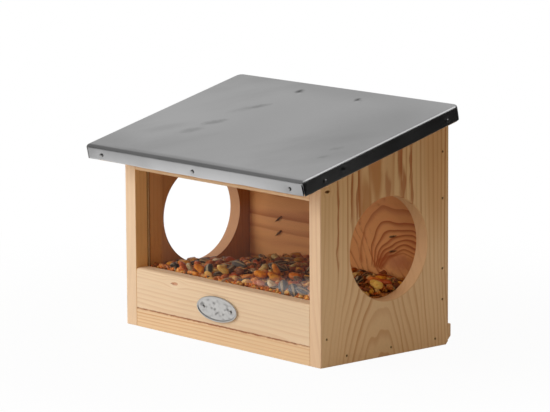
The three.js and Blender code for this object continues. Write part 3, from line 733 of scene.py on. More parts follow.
def sidePanel(sideName, side, look):
    # A side panel with its round entrance, the groove for the pane, which is wider all round
    # than the pane, and a hole for each brad
    shape, node = panelShape, "side_panel_" + sideName
    low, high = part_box(node)
    corners = section(low, high, backEase, math.tan(pitch))
    openings = {opening["name"]: opening["box_m"] for opening in frame["record"]["physics"]["openings"]}
    centre = np.mean(openings[sideName + "_entrance"], 0)[1:]
    away = np.linalg.norm(nodePoints(node)[:, 1:] - centre, axis=1)
    radius = away[away < shape["entrance"]].max()
    piece = holedBoard(pieceName(node), corners, low.x, high.x, sawn, sawn, centre, radius, holeEase)
    paneLow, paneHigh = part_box("window_pane")
    cutters = [sideBlock(side, sideLow.x - shape["groove"], paneHigh.x + edge,
                         (paneLow.y - edge, -shape["past"]), (paneHigh.y + edge, sideHigh.z + shape["past"]))]
    for name in frame["nodes"]:
        if name.startswith("brad_" + sideName):
            head, into, *_ = fastenerPlace(name, (-side, 0, 0))
            start = head - shape["groove"] * into
            cutters.append(drill(start, into, shape["bore"], shape["boreDepth"], 16))
    cut(piece, cutters)
    look = dict(look, bore=((0, *centre), radius, look["boreTint"]))
    finished(flatten(piece), "box", "side_pine", pineMaterial(pieceName(node) + "Pine", look), node)


# How far the cuts reach round the board's corners, how far outside the back corner the turned
# cut is centred, and the shade in the notch behind the sheet's right slit
roofShape = {"notch": 5 * mm, "outside": 1.3 * mm, "shade": inMm(-2.5, 5, -5), "shadeSize": inMm(10, 7, 13)}


def roofBoard():
    # A board with notches behind the slits of the sheet and its back corners taken off
    low, high = boxInLid("roof_board")
    piece = board("roofBoard", section(low, high), low.x, high.x, sawn, sawn)
    notch, outside = roofShape["notch"], roofShape["outside"]
    for side in (-1, 1):
        notchCut = sideBlock(side, high.x + notch, high.x - notch, (low.y - notch, low.z - notch),
                             (low.y + notch, high.z + notch))
        corner = block((-notch, -notch, low.z - notch), (notch, notch, high.z + notch))
        place = Matrix.Translation((side * (high.x + outside), high.y + outside, 0))
        corner.data.transform(place @ Matrix.Rotation(math.pi / 4, 4, "Z"))
        cut(piece, [notchCut, corner])
    flatten(piece).data.transform(lidPlace)
    shade = lidPlace @ (Vector((high.x, low.y, high.z)) + Vector(roofShape["shade"]))
    look = dict(floorLook, marks=[(tuple(shade), roofShape["shadeSize"], 2.4, linear(24, 18, 14))])
    finished(piece, "lid", "pine", pineMaterial("roofPine", look), "roof_board")


crossPiece("front_board", "frontBoardPine", frontLook, (sawn, sawn, planed, frontTopEase))
crossPiece("front_sill", "frontSillPine", sillLook)
crossPiece("top_rail", "topRailPine", dict(sillLook, pith=(-0.05, 0.045, 0)))
crossPiece("floor_board", "floorBoardPine", floorLook)
crossPiece("back_batten", "battenPine", sillLook, eased=battenEase)
crossPiece("back_wall", "wallPine", wallLook, slope=math.tan(pitch))
sidePanel("left", -1, leftPanelLook)
sidePanel("right", 1, rightPanelLook)
roofBoard()
print("boards made")


# Pane

def windowPane():
    # A sheet of clear acrylic with its sawn edges broken; light passes it without a shadow
    low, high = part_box("window_pane")
    broken = 0.25 * mm
    piece = board("windowPane", section(low, high), low.x, high.x, broken, broken, step=20 * mm)
    material, tree, shader = newMaterial("clearAcrylic", {
        "Base Color": (0.996, 1.0, 0.998, 1), "Roughness": 0.0, "IOR": 1.49, "Transmission Weight": 1.0})
    clear = addNode(tree, "BsdfTransparent").outputs[0]
    path = addNode(tree, "LightPath").outputs
    soft = wire("MixShader", {0: path["Is Diffuse Ray"], 1: shader.outputs[0], 2: clear})
    mixed = wire("MixShader", {0: path["Is Shadow Ray"], 1: soft, 2: clear})
    fill(tree.nodes["Material Output"], {"Surface": mixed})
    finished(piece, "box", "clear_pane", material, "window_pane")


windowPane()
print("pane made")


# Metal

# Front and top of the sheet in the lid's frame, in millimetres
sheetLow, sheetHigh = boxInLid("roof_sheet")
sheetFront, sheetTop = sheetLow.y / mm, 14.75
diagonal = -math.pi / 4


def sheetMarks(*rows):
    # Marks on the sheet: x, y and drop from its top in the lid's frame and three half sizes, all
    # in millimetres, then the turn and the depth
    return [(tuple(lidPlace @ Vector(inMm(x, y, sheetTop - drop))), inMm(*size), turn, depth)
            for x, y, drop, *size, turn, depth in rows]


zincLook = {
    "colour": (0.475, 0.475, 0.477, 1), "cloud": 0.3, "rough": (0.28, 0.38), "relief": 0.02 * mm,
    # Tones of smudges together with painted shade and reflection, of painted glints, and of painted shade
    "rubbed": (0.24, 0.24, 0.24, 1), "bright": (0.78, 0.78, 0.785, 1), "dark": (0.05, 0.05, 0.052, 1),
    "streak": (diagonal, 0.15),
    # Painted shade: dark in the knock on the right flange, on the two bumps that the screw tips raise, and in the
    # slit at the front right corner
    "pits": sheetMarks(
        (124.1, -120.2, 4.9, 4, 3.6, 2.2, 0.0, 0.95), (-34.6, -16.4, 0, 4.2, 5, 3, 0.0, 0.8),
        (31.2, -16, 0, 3.8, 4.6, 3, 0.0, 0.8), (123.85, sheetFront, 7, 1.7, 4, 11, 0.0, 0.95)),
    # Smudges that the sheet has; with them painted shade and reflection: a dark band along the front bend, the
    # darker right half, front left corner and back of the top, and the dark sides of the two screw-tip bumps
    "spots": sheetMarks(
        (-42.2, -52.6, 0, 13, 5.4, 9, diagonal, 0.85), (-50, -60, 0, 20, 8, 9, diagonal, 0.3),
        (-52, -90, 0, 15, 6.4, 9, diagonal, 0.65), (-57, -109, 0, 15, 8, 9, diagonal, 0.5),
        (-85, -112, 0, 30, 11, 12, diagonal, 0.25), (97.9, -100.8, 0, 8, 4.4, 9, diagonal, 0.5),
        (100.6, -117.4, 0, 7, 4, 9, diagonal, 0.5), (0, sheetFront + 3.5, 0, 150, 4.5, 4, 0.0, 0.6),
        (95, -60, 0, 75, 95, 40, 0.0, 0.45), (-110, -148, 0, 45, 26, 30, 0.0, 0.35),
        (-10, -4, 0, 130, 24, 30, 0.0, 0.25), (-34, -17, 0, 5.6, 7, 3, 0.0, 0.9),
        (31.6, -16.6, 0, 5, 6.2, 3, 0.0, 0.9)),
    # Painted highlights: a brighter reflection over the front flange, and the lit sides of the two screw-tip bumps
    "glints": sheetMarks(
        (-20, sheetFront, 12, 150, 14, 11, 0.0, 0.42), (60, sheetFront, 12, 40, 14, 11, 0.0, 0.15),
        (-30.4, -20.5, 0, 3.8, 3.2, 3, 0.0, 0.3), (34.8, -20, 0, 3.4, 3, 3, 0.0, 0.3)),
}


def plainMetal(name, red, green, blue, cloud, smooth, rough, relief):
    return metalMaterial(name, {"colour": (red, green, blue, 1), "cloud": cloud, "rough": (smooth, rough),
                                "relief": relief * mm})


zinc = metalMaterial("foldedZinc", zincLook)
nailSteel = plainMetal("nailSteel", 0.46, 0.455, 0.45, 0.3, 0.32, 0.5, 0.03)
bradSteel = plainMetal("bradSteel", 0.28, 0.175, 0.08, 0.3, 0.5, 0.7, 0.03)
fittingSteel = plainMetal("fittingSteel", 0.52, 0.52, 0.51, 0.3, 0.28, 0.45, 0.03)
plateMetal = plainMetal("stampedPlate", 0.63, 0.615, 0.595, 0.4, 0.3, 0.45, 0.04)


def mound(points, middle, width):
    # A bell about a point: exp(-(distance / width) squared)
    return np.exp(-(((points - np.array(middle)) ** 2).sum(-1)) / width ** 2)


sheetShape = {
    "thickness": 0.6 * mm, "bend": 2.0 * mm, "frontBend": 2.8 * mm, "corner": 3.4 * mm, "rim": 0.2 * mm,
    "slit": {-1: 0.5 * mm, 1: 1.5 * mm}, "dimple": 0.55 * mm, "dimpleWidth": 3.6 * mm, "wave": 0.42 * mm,
    "sag": 0.3 * mm, "tip": 1.0 * mm, "tipWidth": 2.2 * mm, "knock": inMm(39.6, 4.9, 0.7, 2.4),
    "coarse": 1.9 * mm, "fine": 0.55 * mm, "crowd": 3 * mm, "rise": 0.9 * mm, "sharpAngle": 38,
    "frontReach": 8 * mm, "slitLength": 1.8 * mm, "past": 3 * mm,
}


def crowded(low, high, places):
    # Places from low to high, coarse apart, and fine apart near the given places
    shape = sheetShape
    line = np.linspace(low, high, 4000)
    near = sum(np.exp(-(((line - place) / shape["crowd"]) ** 2)) for place in places)
    density = 1 / shape["coarse"] + (1 / shape["fine"] - 1 / shape["coarse"]) * near
    count = np.concatenate([[0], np.cumsum((density[1:] + density[:-1]) / 2 * np.diff(line))])
    return np.interp(np.linspace(0, count[-1], int(count[-1]) + 2), count, line)


def roofSheet():
    # The folded sheet as one shell. Its top and underside are grids with round back corners,
    # (u, v) -> (u sqrt(1 - v v / 2), v sqrt(1 - u u / 2)); between them, rings run from the
    # edge of the top over the bend, down, round the rim and back up inside:
    # P = edge + reach sin(turn) out, height = top - fall (1 - cos(turn))
    shape, low, high = sheetShape, np.array(sheetLow), np.array(sheetHigh)
    top = boxInLid("roof_board")[1].z + shape["rise"]
    bend, frontBend, thick, corner, rim = map(shape.get, ("bend", "frontBend", "thickness", "corner", "rim"))
    tips = [carried(nodePoints(f"hinge_screw_roof_{side}"), lidInverse) for side in ("left", "right")]
    tips = [points[points[:, 2].argmax()] for points in tips]
    endX, endY = high[0] - bend, high[1] - bend
    x = crowded(-endX, endX, [tips[0][0], tips[1][0], -endX, endX])
    y = crowded(low[1] + frontBend, endY, [tips[0][1], endY])
    across, along = len(x), len(y)
    gridX, gridY = np.meshgrid(x, y)
    side = np.sign(gridX)
    u = np.clip((np.abs(gridX) - endX + corner) / corner, 0, 1)
    v = np.clip((gridY - endY + corner) / corner, 0, 1)
    roundU, roundV = u * np.sqrt(1 - v ** 2 / 2), v * np.sqrt(1 - u ** 2 / 2)
    gridX, gridY = gridX + side * corner * (roundU - u), gridY + corner * (roundV - v)
    # The edge of the top, counter-clockwise from the front left, and the directions out of it
    border = np.concatenate([
        np.arange(across), across * np.arange(1, along) + across - 1,
        across * (along - 1) + np.arange(across - 2, -1, -1), across * np.arange(along - 2, 0, -1)])
    rim2d = np.stack([gridX, gridY], -1).reshape(-1, 2)[border]
    out = np.stack([side * roundU, roundV], -1).reshape(-1, 2)[border]
    out[1:across - 1] = (0, -1)
    out[[0, across - 1], 1] = -frontBend / bend
    wide = np.full(len(rim2d), bend)
    wide[1:across - 1] = frontBend
    fall = bend + (frontBend - bend) * np.clip(1 - (rim2d[:, 1] - y[0]) / shape["frontReach"], 0, 1) ** 2
    turn = np.linspace(0, quarter, 9)[:, None]
    share = np.linspace(0, 1, 9)[1:, None]
    wall = top - fall + share * (low[2] + rim - top + fall)
    inset = np.array([[0.4 * rim], [thick / 2], [thick - 0.4 * rim]])
    reach = np.concatenate([wide * np.sin(turn), wide + 0 * share, wide - inset, wide - thick + 0 * share,
                            (wide - thick) * np.sin(turn[::-1])])
    height = np.concatenate([
        top - fall * (1 - np.cos(turn)), wall, low[2] + rim * np.array([[0.3], [0], [0.3]]) + 0 * fall,
        wall[::-1], top - thick - (fall - thick) * (1 - np.cos(turn[::-1]))])
    rings = np.concatenate([rim2d + reach[..., None] * out, height[..., None]], 2)
    grids = [np.stack([gridX, gridY, np.full_like(gridX, z)], -1) for z in (top, top - thick)]
    solid = np.concatenate([part.reshape(-1, 3) for part in (rings, *grids)])
    push = np.broadcast_to(np.append(out, np.zeros((len(rim2d), 1)), 1), rings.shape).reshape(-1, 3)
    push = np.concatenate([push, np.zeros((2 * gridX.size, 3))])
    # Nails pull the edges in a little, a knock dents the right one, and they wave between
    drop = np.clip((top - solid[:, 2]) / (top - low[2]), 0, 1)
    knock, down, depth, width = shape["knock"]
    pull = depth * mound(solid, (high[0], low[1] + knock, top - down), width)
    middle = np.array([0, (low[1] + high[1]) / 2])
    for node in frame["nodes"]:
        if node.startswith("sheet_nail"):
            nail = carried(nodePoints(node), lidInverse)
            head = nail[(np.abs(nail[:, :2] - middle) / (high[:2] - low[:2])).max(1).argmax()]
            pull += shape["dimple"] * mound(solid, head, shape["dimpleWidth"])
    wave = np.sin(solid[:, 0] * 61 + 1.1) * np.cos(solid[:, 0] * 23 + solid[:, 1] * 47)
    wave += 0.4 * np.sin(solid[:, 0] * 190)
    solid += ((shape["wave"] * drop ** 2 * wave - pull) * np.clip((drop - 0.1) / 0.2, 0, 1))[:, None] * push
    # The top sags a little, and the two screw tips press it up from below
    span = (solid[:, :2] - low[:2]) / (high[:2] - low[:2])
    spanX, spanY = span.T
    sag = np.sin(spanX * 9.2 + 0.6) * np.sin(spanY * 7.1 + 1.9) + 0.6 * np.sin(spanX * 4.1 + spanY * 13)
    lift = -0.4 * shape["sag"] * sag * np.sin(math.pi * np.clip(span, 0, 1)).clip(0, 1).prod(-1) ** 0.5
    for tip in tips:
        lift += shape["tip"] * mound(solid[:, :2], tip[:2], shape["tipWidth"])
    solid[:, 2] += (1 - np.clip(drop * 6, 0, 1)) * lift
    cell = (np.arange(along - 1)[:, None] * across + np.arange(across - 1)).reshape(-1, 1)
    cell = cell + [0, 1, across + 1, across] + rings.shape[0] * rings.shape[1]
    faces = gridFaces(*rings.shape[:2]) + cell.tolist() + (cell + gridX.size).tolist()
    piece = makePiece("roofSheet", solid, faces, shape["sharpAngle"])
    slitLow, slitHigh = low[1:] - shape["past"], (low[1] + shape["slitLength"], top - frontBend)
    cut(piece, [sideBlock(side, high[0] - thick, high[0] - thick - slit, slitLow, slitHigh)
                for side, slit in shape["slit"].items()], sharpAngle=shape["sharpAngle"])
    piece.data.transform(lidPlace)
    finished(piece, "lid", "zinc_sheet", zinc, "roof_sheet")


roofSheet()
print("roof sheet made")


# Fasteners: the direction into the wood, and in millimetres the dome and the shank

fastenerKinds = {
    "brad_left": ((1, 0, 0), 0.12, 0.75), "brad_right": ((-1, 0, 0), 0.12, 0.75),
    "batten_nail": ((0, -1, 0), 0.3, 1.1), "plate_pin": ((0, 1, 0), 0.55, 0.7),
    "sheet_nail_front": (lidTurn @ Vector((0, 1, 0)), 0.42, 0.7),
    "sheet_nail_back": (lidTurn @ Vector((0, -1, 0)), 0.42, 0.7),
    "sheet_nail_left": ((1, 0, 0), 0.42, 0.7), "sheet_nail_right": ((-1, 0, 0), 0.42, 0.7),
}


def nailProfile(head, dome, shank, reach, rim=0.25 * mm, point=2 * mm):
    # Radius and reach of a nail from the top of its domed head to its point
    turn = np.linspace(0, quarter, 6)
    crown = [(head * math.sin(a), dome * (1 - math.cos(a))) for a in turn]
    return crown + [(head, dome + rim), (shank, dome + rim), (shank, reach - point), (0, reach)]


def turnedFasteners():
    for kind, (into, dome, shank) in fastenerKinds.items():
        body = "lid" if kind.startswith("sheet") else "box"
        slot, metal = ("plate_metal", plateMetal) if kind == "plate_pin" else ("nail_steel", nailSteel)
        if kind.startswith("brad"):
            metal = bradSteel
        for node in sorted(name for name in frame["nodes"] if name.startswith(kind)):
            head, direction, reach, radius = fastenerPlace(node, into)
            profile = nailProfile(radius, dome * mm, min(shank * mm, radius), reach)
            nail = turned(pieceName(node), head, direction, profile, sharpAngle=45)
            finished(nail, body, slot, metal, node)


turnedFasteners()
print("nails made")


# Plate, hangers and hinge

# Insets and depths of the plate's loops from the back round the rim, in millimetres; then how
# many points and field loops, where the field begins and lies, and the blows that hammered it
plateShape = {
    "inset": (6, 0.3, 0.08, 0, 0, 0.1, 0.4, 0.9, 1.15, 1.3, 1.5), "around": 150, "loops": 26,
    "depth": (0, 0, 0, 0.08, 0.3, 1.15, 1.4, 1.5, 1.5, 1.4, 1.15, 1.02), "field": 1.6 * mm, "level": 1.0 * mm,
    "blows": 120, "blow": 1.3 * mm, "hammer": 0.3 * mm, "apart": 3 * mm,
}


def ovalPlate():
    # Oval loops: x = (a - inset) cos t, z = (b - inset) sin t, from the back round the rim to
    # the field, which is hammered: a bell of its own height at each blow
    shape = plateShape
    low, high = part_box("name_plate")
    middle, half = (low + high) / 2, (high - low) / 2
    inset = np.array([half.z, *inMm(*shape["inset"])])[:, None]
    depth = np.array(inMm(*shape["depth"]))[:, None]
    angle = np.linspace(0, 2 * math.pi, shape["around"], endpoint=False)[None]
    rimX, rimZ = (half.x - inset) * np.cos(angle), (half.z - inset) * np.sin(angle)
    rimX[0] = 0
    share = np.linspace(1, 0, shape["loops"])[1:, None]
    fieldX = share * (half.x - shape["field"]) * np.cos(angle)
    fieldZ = share * (half.z - shape["field"]) * np.sin(angle)
    reach = (half.x - shape["apart"], half.z - shape["apart"], 1)
    blows = np.random.default_rng(11).uniform(-1, 1, (shape["blows"], 3)) * reach
    away = (fieldX[..., None] - blows[:, 0]) ** 2 + (fieldZ[..., None] - blows[:, 1]) ** 2
    dents = (np.exp(-away / shape["blow"] ** 2) * blows[:, 2]).sum(-1)
    hammered = shape["level"] + shape["hammer"] * dents * np.clip((1 - share) * 7, 0, 1)
    x = middle.x + np.concatenate([rimX, fieldX])
    z = middle.z + np.concatenate([rimZ, fieldZ])
    y = high.y - np.concatenate([np.broadcast_to(depth, rimX.shape), hammered])
    plate = shell("namePlate", np.stack([x, y, z], -1), 50, caps=False)
    finished(plate, "box", "plate_metal", plateMetal, "name_plate")


def bentStrip(name, path, width, thickness, corner, ease=0.25 * mm):
    # A strip bent along a path in y and z: at each place of the path a rounded section
    # (x = w c(a), across = t/2 s(a)); w shrinks at both ends, which rounds their corners
    path = np.array(path, float)
    reach = np.concatenate([[0], np.cumsum(np.linalg.norm(np.diff(path, axis=0), axis=1))])
    whole = reach[-1]
    nearEnd = corner * (1 - np.cos(np.linspace(0, quarter, 7)))
    fine = np.linspace(0, whole, int(whole / (0.5 * mm)))
    fine = fine[(fine > corner) & (fine < whole - corner)]
    fine = np.unique(np.concatenate([nearEnd, whole - nearEnd, fine]))
    y, z = np.interp(fine, reach, path[:, 0]), np.interp(fine, reach, path[:, 1])
    tangent = unit(np.stack([np.gradient(y, fine), np.gradient(z, fine)], 1))
    fall = np.clip(corner - np.minimum(fine, whole - fine), 0, corner)
    half = width / 2 - (corner - np.sqrt(corner ** 2 - fall ** 2))
    turn = (quarter * (np.arange(4)[:, None] + np.linspace(0, 1, 4))).ravel()
    sideX, sideT = np.repeat([1, -1, -1, 1], 4), np.repeat([1, 1, -1, -1], 4)
    across = (np.sin(turn) - sideT) * ease + sideT * thickness / 2
    x = (np.cos(turn) - sideX) * ease + sideX * half[:, None]
    y, z = y[:, None] - across * tangent[:, 1:], z[:, None] + across * tangent[:, :1]
    return shell(name, np.stack([x, y, z], -1), 40)


def tube(name, path, radii, steps):
    # A round bar along a path in one plane: P = path + r (cos a side + sin a square)
    square = unit(np.cross(path[1] - path[0], path[-1] - path[-2]))
    side = np.cross(unit(np.gradient(path, axis=0)), square)
    angle = np.linspace(0, 2 * math.pi, steps, endpoint=False)[None, :, None]
    points = path[:, None] + radii[:, None, None] * (np.cos(angle) * side[:, None] + np.sin(angle) * square)
    return shell(name, points, 45)


hangerShape = {
    "thickness": 1.2 * mm, "headHole": 4.5 * mm, "slot": 2.2 * mm, "slotLength": 7.5 * mm, "rise": 3.2 * mm,
    "foot": 26 * mm, "corner": 3 * mm, "fillet": 2.4 * mm, "past": 2 * mm, "through": 12 * mm,
}
# The crown is its dome, shank, length and rim; the taper starts where the point does
hangerNailShape = {
    "shank": 0.7 * mm, "around": 14, "bend": 1.3 * mm, "bent": 2.2 * mm, "head": 0.9 * mm, "inHead": 0.4 * mm,
    "tip": 1.6 * mm, "taper": [1] * 13 + [0.6, 0.42, 0.12], "crown": inMm(0.35, 0.5, 3, 0.3),
}


def roundedPath(corners, radius):
    # A polyline with each inner corner turned into a bend
    corners = np.array(corners, float)
    bends = [curve(corner + radius * unit(before - corner), corner, corner + radius * unit(after - corner), 7)
             for before, corner, after in zip(corners, corners[1:], corners[2:])]
    return np.concatenate([corners[:1], *bends, corners[-1:]])


def hangerPlate(node):
    # A strip with an offset bend, a round hole for a screw's head and a slot over it
    shape = hangerShape
    low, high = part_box(node)
    thickness, rise, slot, through = map(shape.get, ("thickness", "rise", "slot", "through"))
    y, foot = low.y + thickness / 2, low.z + shape["foot"]
    path = roundedPath([(y, low.z), (y, foot), (y + rise, foot + rise), (y + rise, high.z)], shape["fillet"])
    plate = bentStrip(pieceName(node), path, high.x - low.x, thickness, shape["corner"])
    middle, front = (low.x + high.x) / 2, low.y - shape["past"]
    plate.data.transform(Matrix.Translation((middle, 0, 0)))
    headZ = foot + rise + thickness + shape["headHole"]
    slotTop = headZ + shape["slotLength"]
    cut(plate, [drill((middle, front, headZ), (0, 1, 0), shape["headHole"], through, 40),
                block((middle - slot, front, headZ), (middle + slot, front + through, slotTop)),
                drill((middle, front, slotTop), (0, 1, 0), slot, through, 32)])
    finished(plate, "box", "hinge_steel", fittingSteel, node)


def hangerNail(node):
    # Domed head outside, shank through the wall, and the point bent over on its inner face
    shape, points = hangerNailShape, nodePoints(node)
    outer, inner = points[:, 1].max(), points[:, 1].min()
    head = points[points[:, 1] > outer - shape["head"]]
    centre = (head.min(0) + head.max(0)) / 2
    near = points[points[:, 1] < inner + shape["tip"]]
    tip = near[np.hypot(near[:, 0] - centre[0], near[:, 2] - centre[2]).argmax()]
    bend = np.array([centre[0], inner + shape["shank"], centre[2]])
    reach = np.array([tip[0], bend[1], tip[2]]) - bend
    lean = unit(reach)
    bow = curve(bend + [0, shape["bend"], 0], bend, bend + shape["bend"] * lean, 9)
    straight = bend + lean * np.linspace(shape["bent"], np.linalg.norm(reach), 6)[:, None]
    path = np.concatenate([[[centre[0], outer - shape["inHead"], centre[2]]], bow, straight])
    nail = tube(pieceName(node), path, shape["shank"] * np.array(shape["taper"]), shape["around"])
    profile = nailProfile((head[:, 0].max() - head[:, 0].min()) / 2, *shape["crown"])
    cut(nail, [turned("crown", (centre[0], outer, centre[2]), (0, -1, 0), profile, 24, 45)], "UNION", 45)
    finished(nail, "box", "nail_steel", bradSteel, node)


hingeShape = {"barrel": 2.35 * mm, "thickness": 1.0 * mm, "width": 21 * mm, "length": 80 * mm, "knuckles": 5,
              "gap": 0.3 * mm, "curl": 290, "corner": 2.2 * mm}


def hingeLeaf(node, first, place, body):
    # A leaf rolled round the pin: flat from its far edge to the barrel, then an arc of the
    # curl's angle about the pin; it keeps every second knuckle
    shape = hingeShape
    middle = shape["barrel"] - shape["thickness"] / 2
    angle = np.radians(90 - np.linspace(0, shape["curl"], 40))
    roll = np.stack([middle * np.cos(angle), middle * np.sin(angle)], 1)
    path = np.concatenate([[(-shape["width"], middle)], roll])
    leaf = bentStrip(pieceName(node), path, shape["length"], shape["thickness"], shape["corner"], 0.15 * mm)
    knuckle, room = shape["length"] / shape["knuckles"], shape["barrel"] + shape["gap"]
    past = shape["gap"] / 2
    for index in range(1 - first, shape["knuckles"], 2):
        x = index * knuckle - shape["length"] / 2
        space = block((x - past, -room, -2 * room), (x + knuckle + past, 2 * room, 2 * room))
        cut(leaf, [space], sharpAngle=40)
    leaf.data.transform(place)
    finished(leaf, body, "hinge_steel", fittingSteel, node)


def hingePin():
    # A round bar with rounded ends
    low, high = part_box("hinge_pin")
    middle, radius = (low + high) / 2, (high.z - low.z) / 2
    ends = [(0, 0), (0.6 * radius, 0.05 * mm), (0.92 * radius, 0.25 * mm), (radius, 0.6 * mm)]
    profile = ends + [(r, high.x - low.x - reach) for r, reach in ends[::-1]]
    pin = turned("hingePin", (low.x, middle.y, middle.z), (1, 0, 0), profile)
    finished(pin, "box", "hinge_steel", fittingSteel, "hinge_pin")


screwShape = {"shank": 0.57, "face": 0.9, "rim": 0.12 * mm, "sunk": 1.0 * mm, "point": 2.2 * mm,
              "slot": inMm(1.15, 0.28), "slotDepth": inMm(-0.3, 0.55)}


def hingeScrew(node, into, body):
    # A countersunk head with a cross slot, and a shank with a gimlet point
    shape = screwShape
    head, into, reach, radius = fastenerPlace(node, into)
    shank, (armLong, armWide) = shape["shank"] * radius, shape["slot"]
    profile = [(0, 0), (shape["face"] * radius, 0), (radius, shape["rim"]), (shank, shape["sunk"]),
               (shank, reach - shape["point"]), (0, reach)]
    screw = turned(pieceName(node), head, into, profile)
    _, side, up = basis(into)
    for arm, other in ((side, up), (up, side)):
        corners = [[head + a * armLong * arm + b * armWide * other + depth * into
                    for a, b in ((-1, -1), (1, -1), (1, 1), (-1, 1))] for depth in shape["slotDepth"]]
        cut(screw, [shell("slot", np.array(corners))])
    finished(screw, body, "hinge_steel", fittingSteel, node)


ovalPlate()
for side in ("left", "right"):
    hangerPlate("hanger_plate_" + side)
    hangerNail(f"hanger_nail_{side}_1")
    hangerNail(f"hanger_nail_{side}_2")
    hingeScrew("hinge_screw_roof_" + side, lidTurn @ Vector((0, 0, 1)), "lid")
    hingeScrew("hinge_screw_wall_" + side, (0, -1, 0), "box")
hingeLeaf("hinge_roof_leaf", 1, lidPlace, "lid")
hingeLeaf("hinge_wall_leaf", 0, wallPlace, "box")
hingePin()
print("plate, hangers and hinge made")


# Feed: the corner where it has been eaten lower, how it darkens to the back, its base's grid
# and crumbs, the even places of the seeds, and the room and size of those placed one by one

feedTop = nodePoints("feed_bed")
feedTop = feedTop[feedTop[:, 2] > 30 * mm]
feedLow, feedHigh = (np.array(corner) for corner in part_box("feed_bed"))
feedShape = {
    "bell": 7 * mm, "eaten": inMm(-62, 36), "eatenSize": inMm(46, 26), "eatenDepth": 6.5 * mm,
    # The seeds' tone falls from the first to the second factor between the two places in y: painted shade towards
    # the back
    "shadeFrom": inMm(-34, 8), "shade": (1.16, 0.78), "grid": (130, 66), "sunk": 3.2 * mm, "crumb": 0.5 * mm,
    "golden": (0.7548776662, 0.5698402910), "jitter": 1.5, "room": 7 * mm, "under": -1.5 * mm,
    "larger": 1.2, "roll": 0.3,
}


def feedHeight(x, y):
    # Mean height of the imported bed's top round a place, weighted by a bell, less the hollow:
    # depth * exp(-(x / wide)^2 - (y / long)^2) about its middle
    shape = feedShape
    away = (x[..., None] - feedTop[:, 0]) ** 2 + (y[..., None] - feedTop[:, 1]) ** 2
    weight = np.exp(-away / shape["bell"] ** 2)
    farX, farY = ((place - middle) / wide
                  for place, middle, wide in zip((x, y), shape["eaten"], shape["eatenSize"]))
    hollow = shape["eatenDepth"] * np.exp(-farX ** 2 - farY ** 2)
    return (weight * feedTop[:, 2]).sum(-1) / weight.sum(-1) - hollow


def feedBase():
    # The crumbs under the seeds: the bed's height, lowered, with small waves. Each row is a
    # closed loop from front to back over the top and home along the floor
    x, y = (np.linspace(*ends) for ends in zip(feedLow, feedHigh, feedShape["grid"]))
    x, y = np.meshgrid(x, y, indexing="ij")
    crumb = np.sin(x * 1500 + 2 * np.sin(y * 800)) * np.sin(y * 1700 + 2 * np.sin(x * 700))
    top = feedHeight(x, y) - feedShape["sunk"] + feedShape["crumb"] * crumb
    grid = np.stack([x, y, top], -1)
    below = grid[:, [-1, 0]] * (1, 1, 0) + (0, 0, feedLow[2])
    return shell("feedBase", np.concatenate([grid, below], 1), 60)


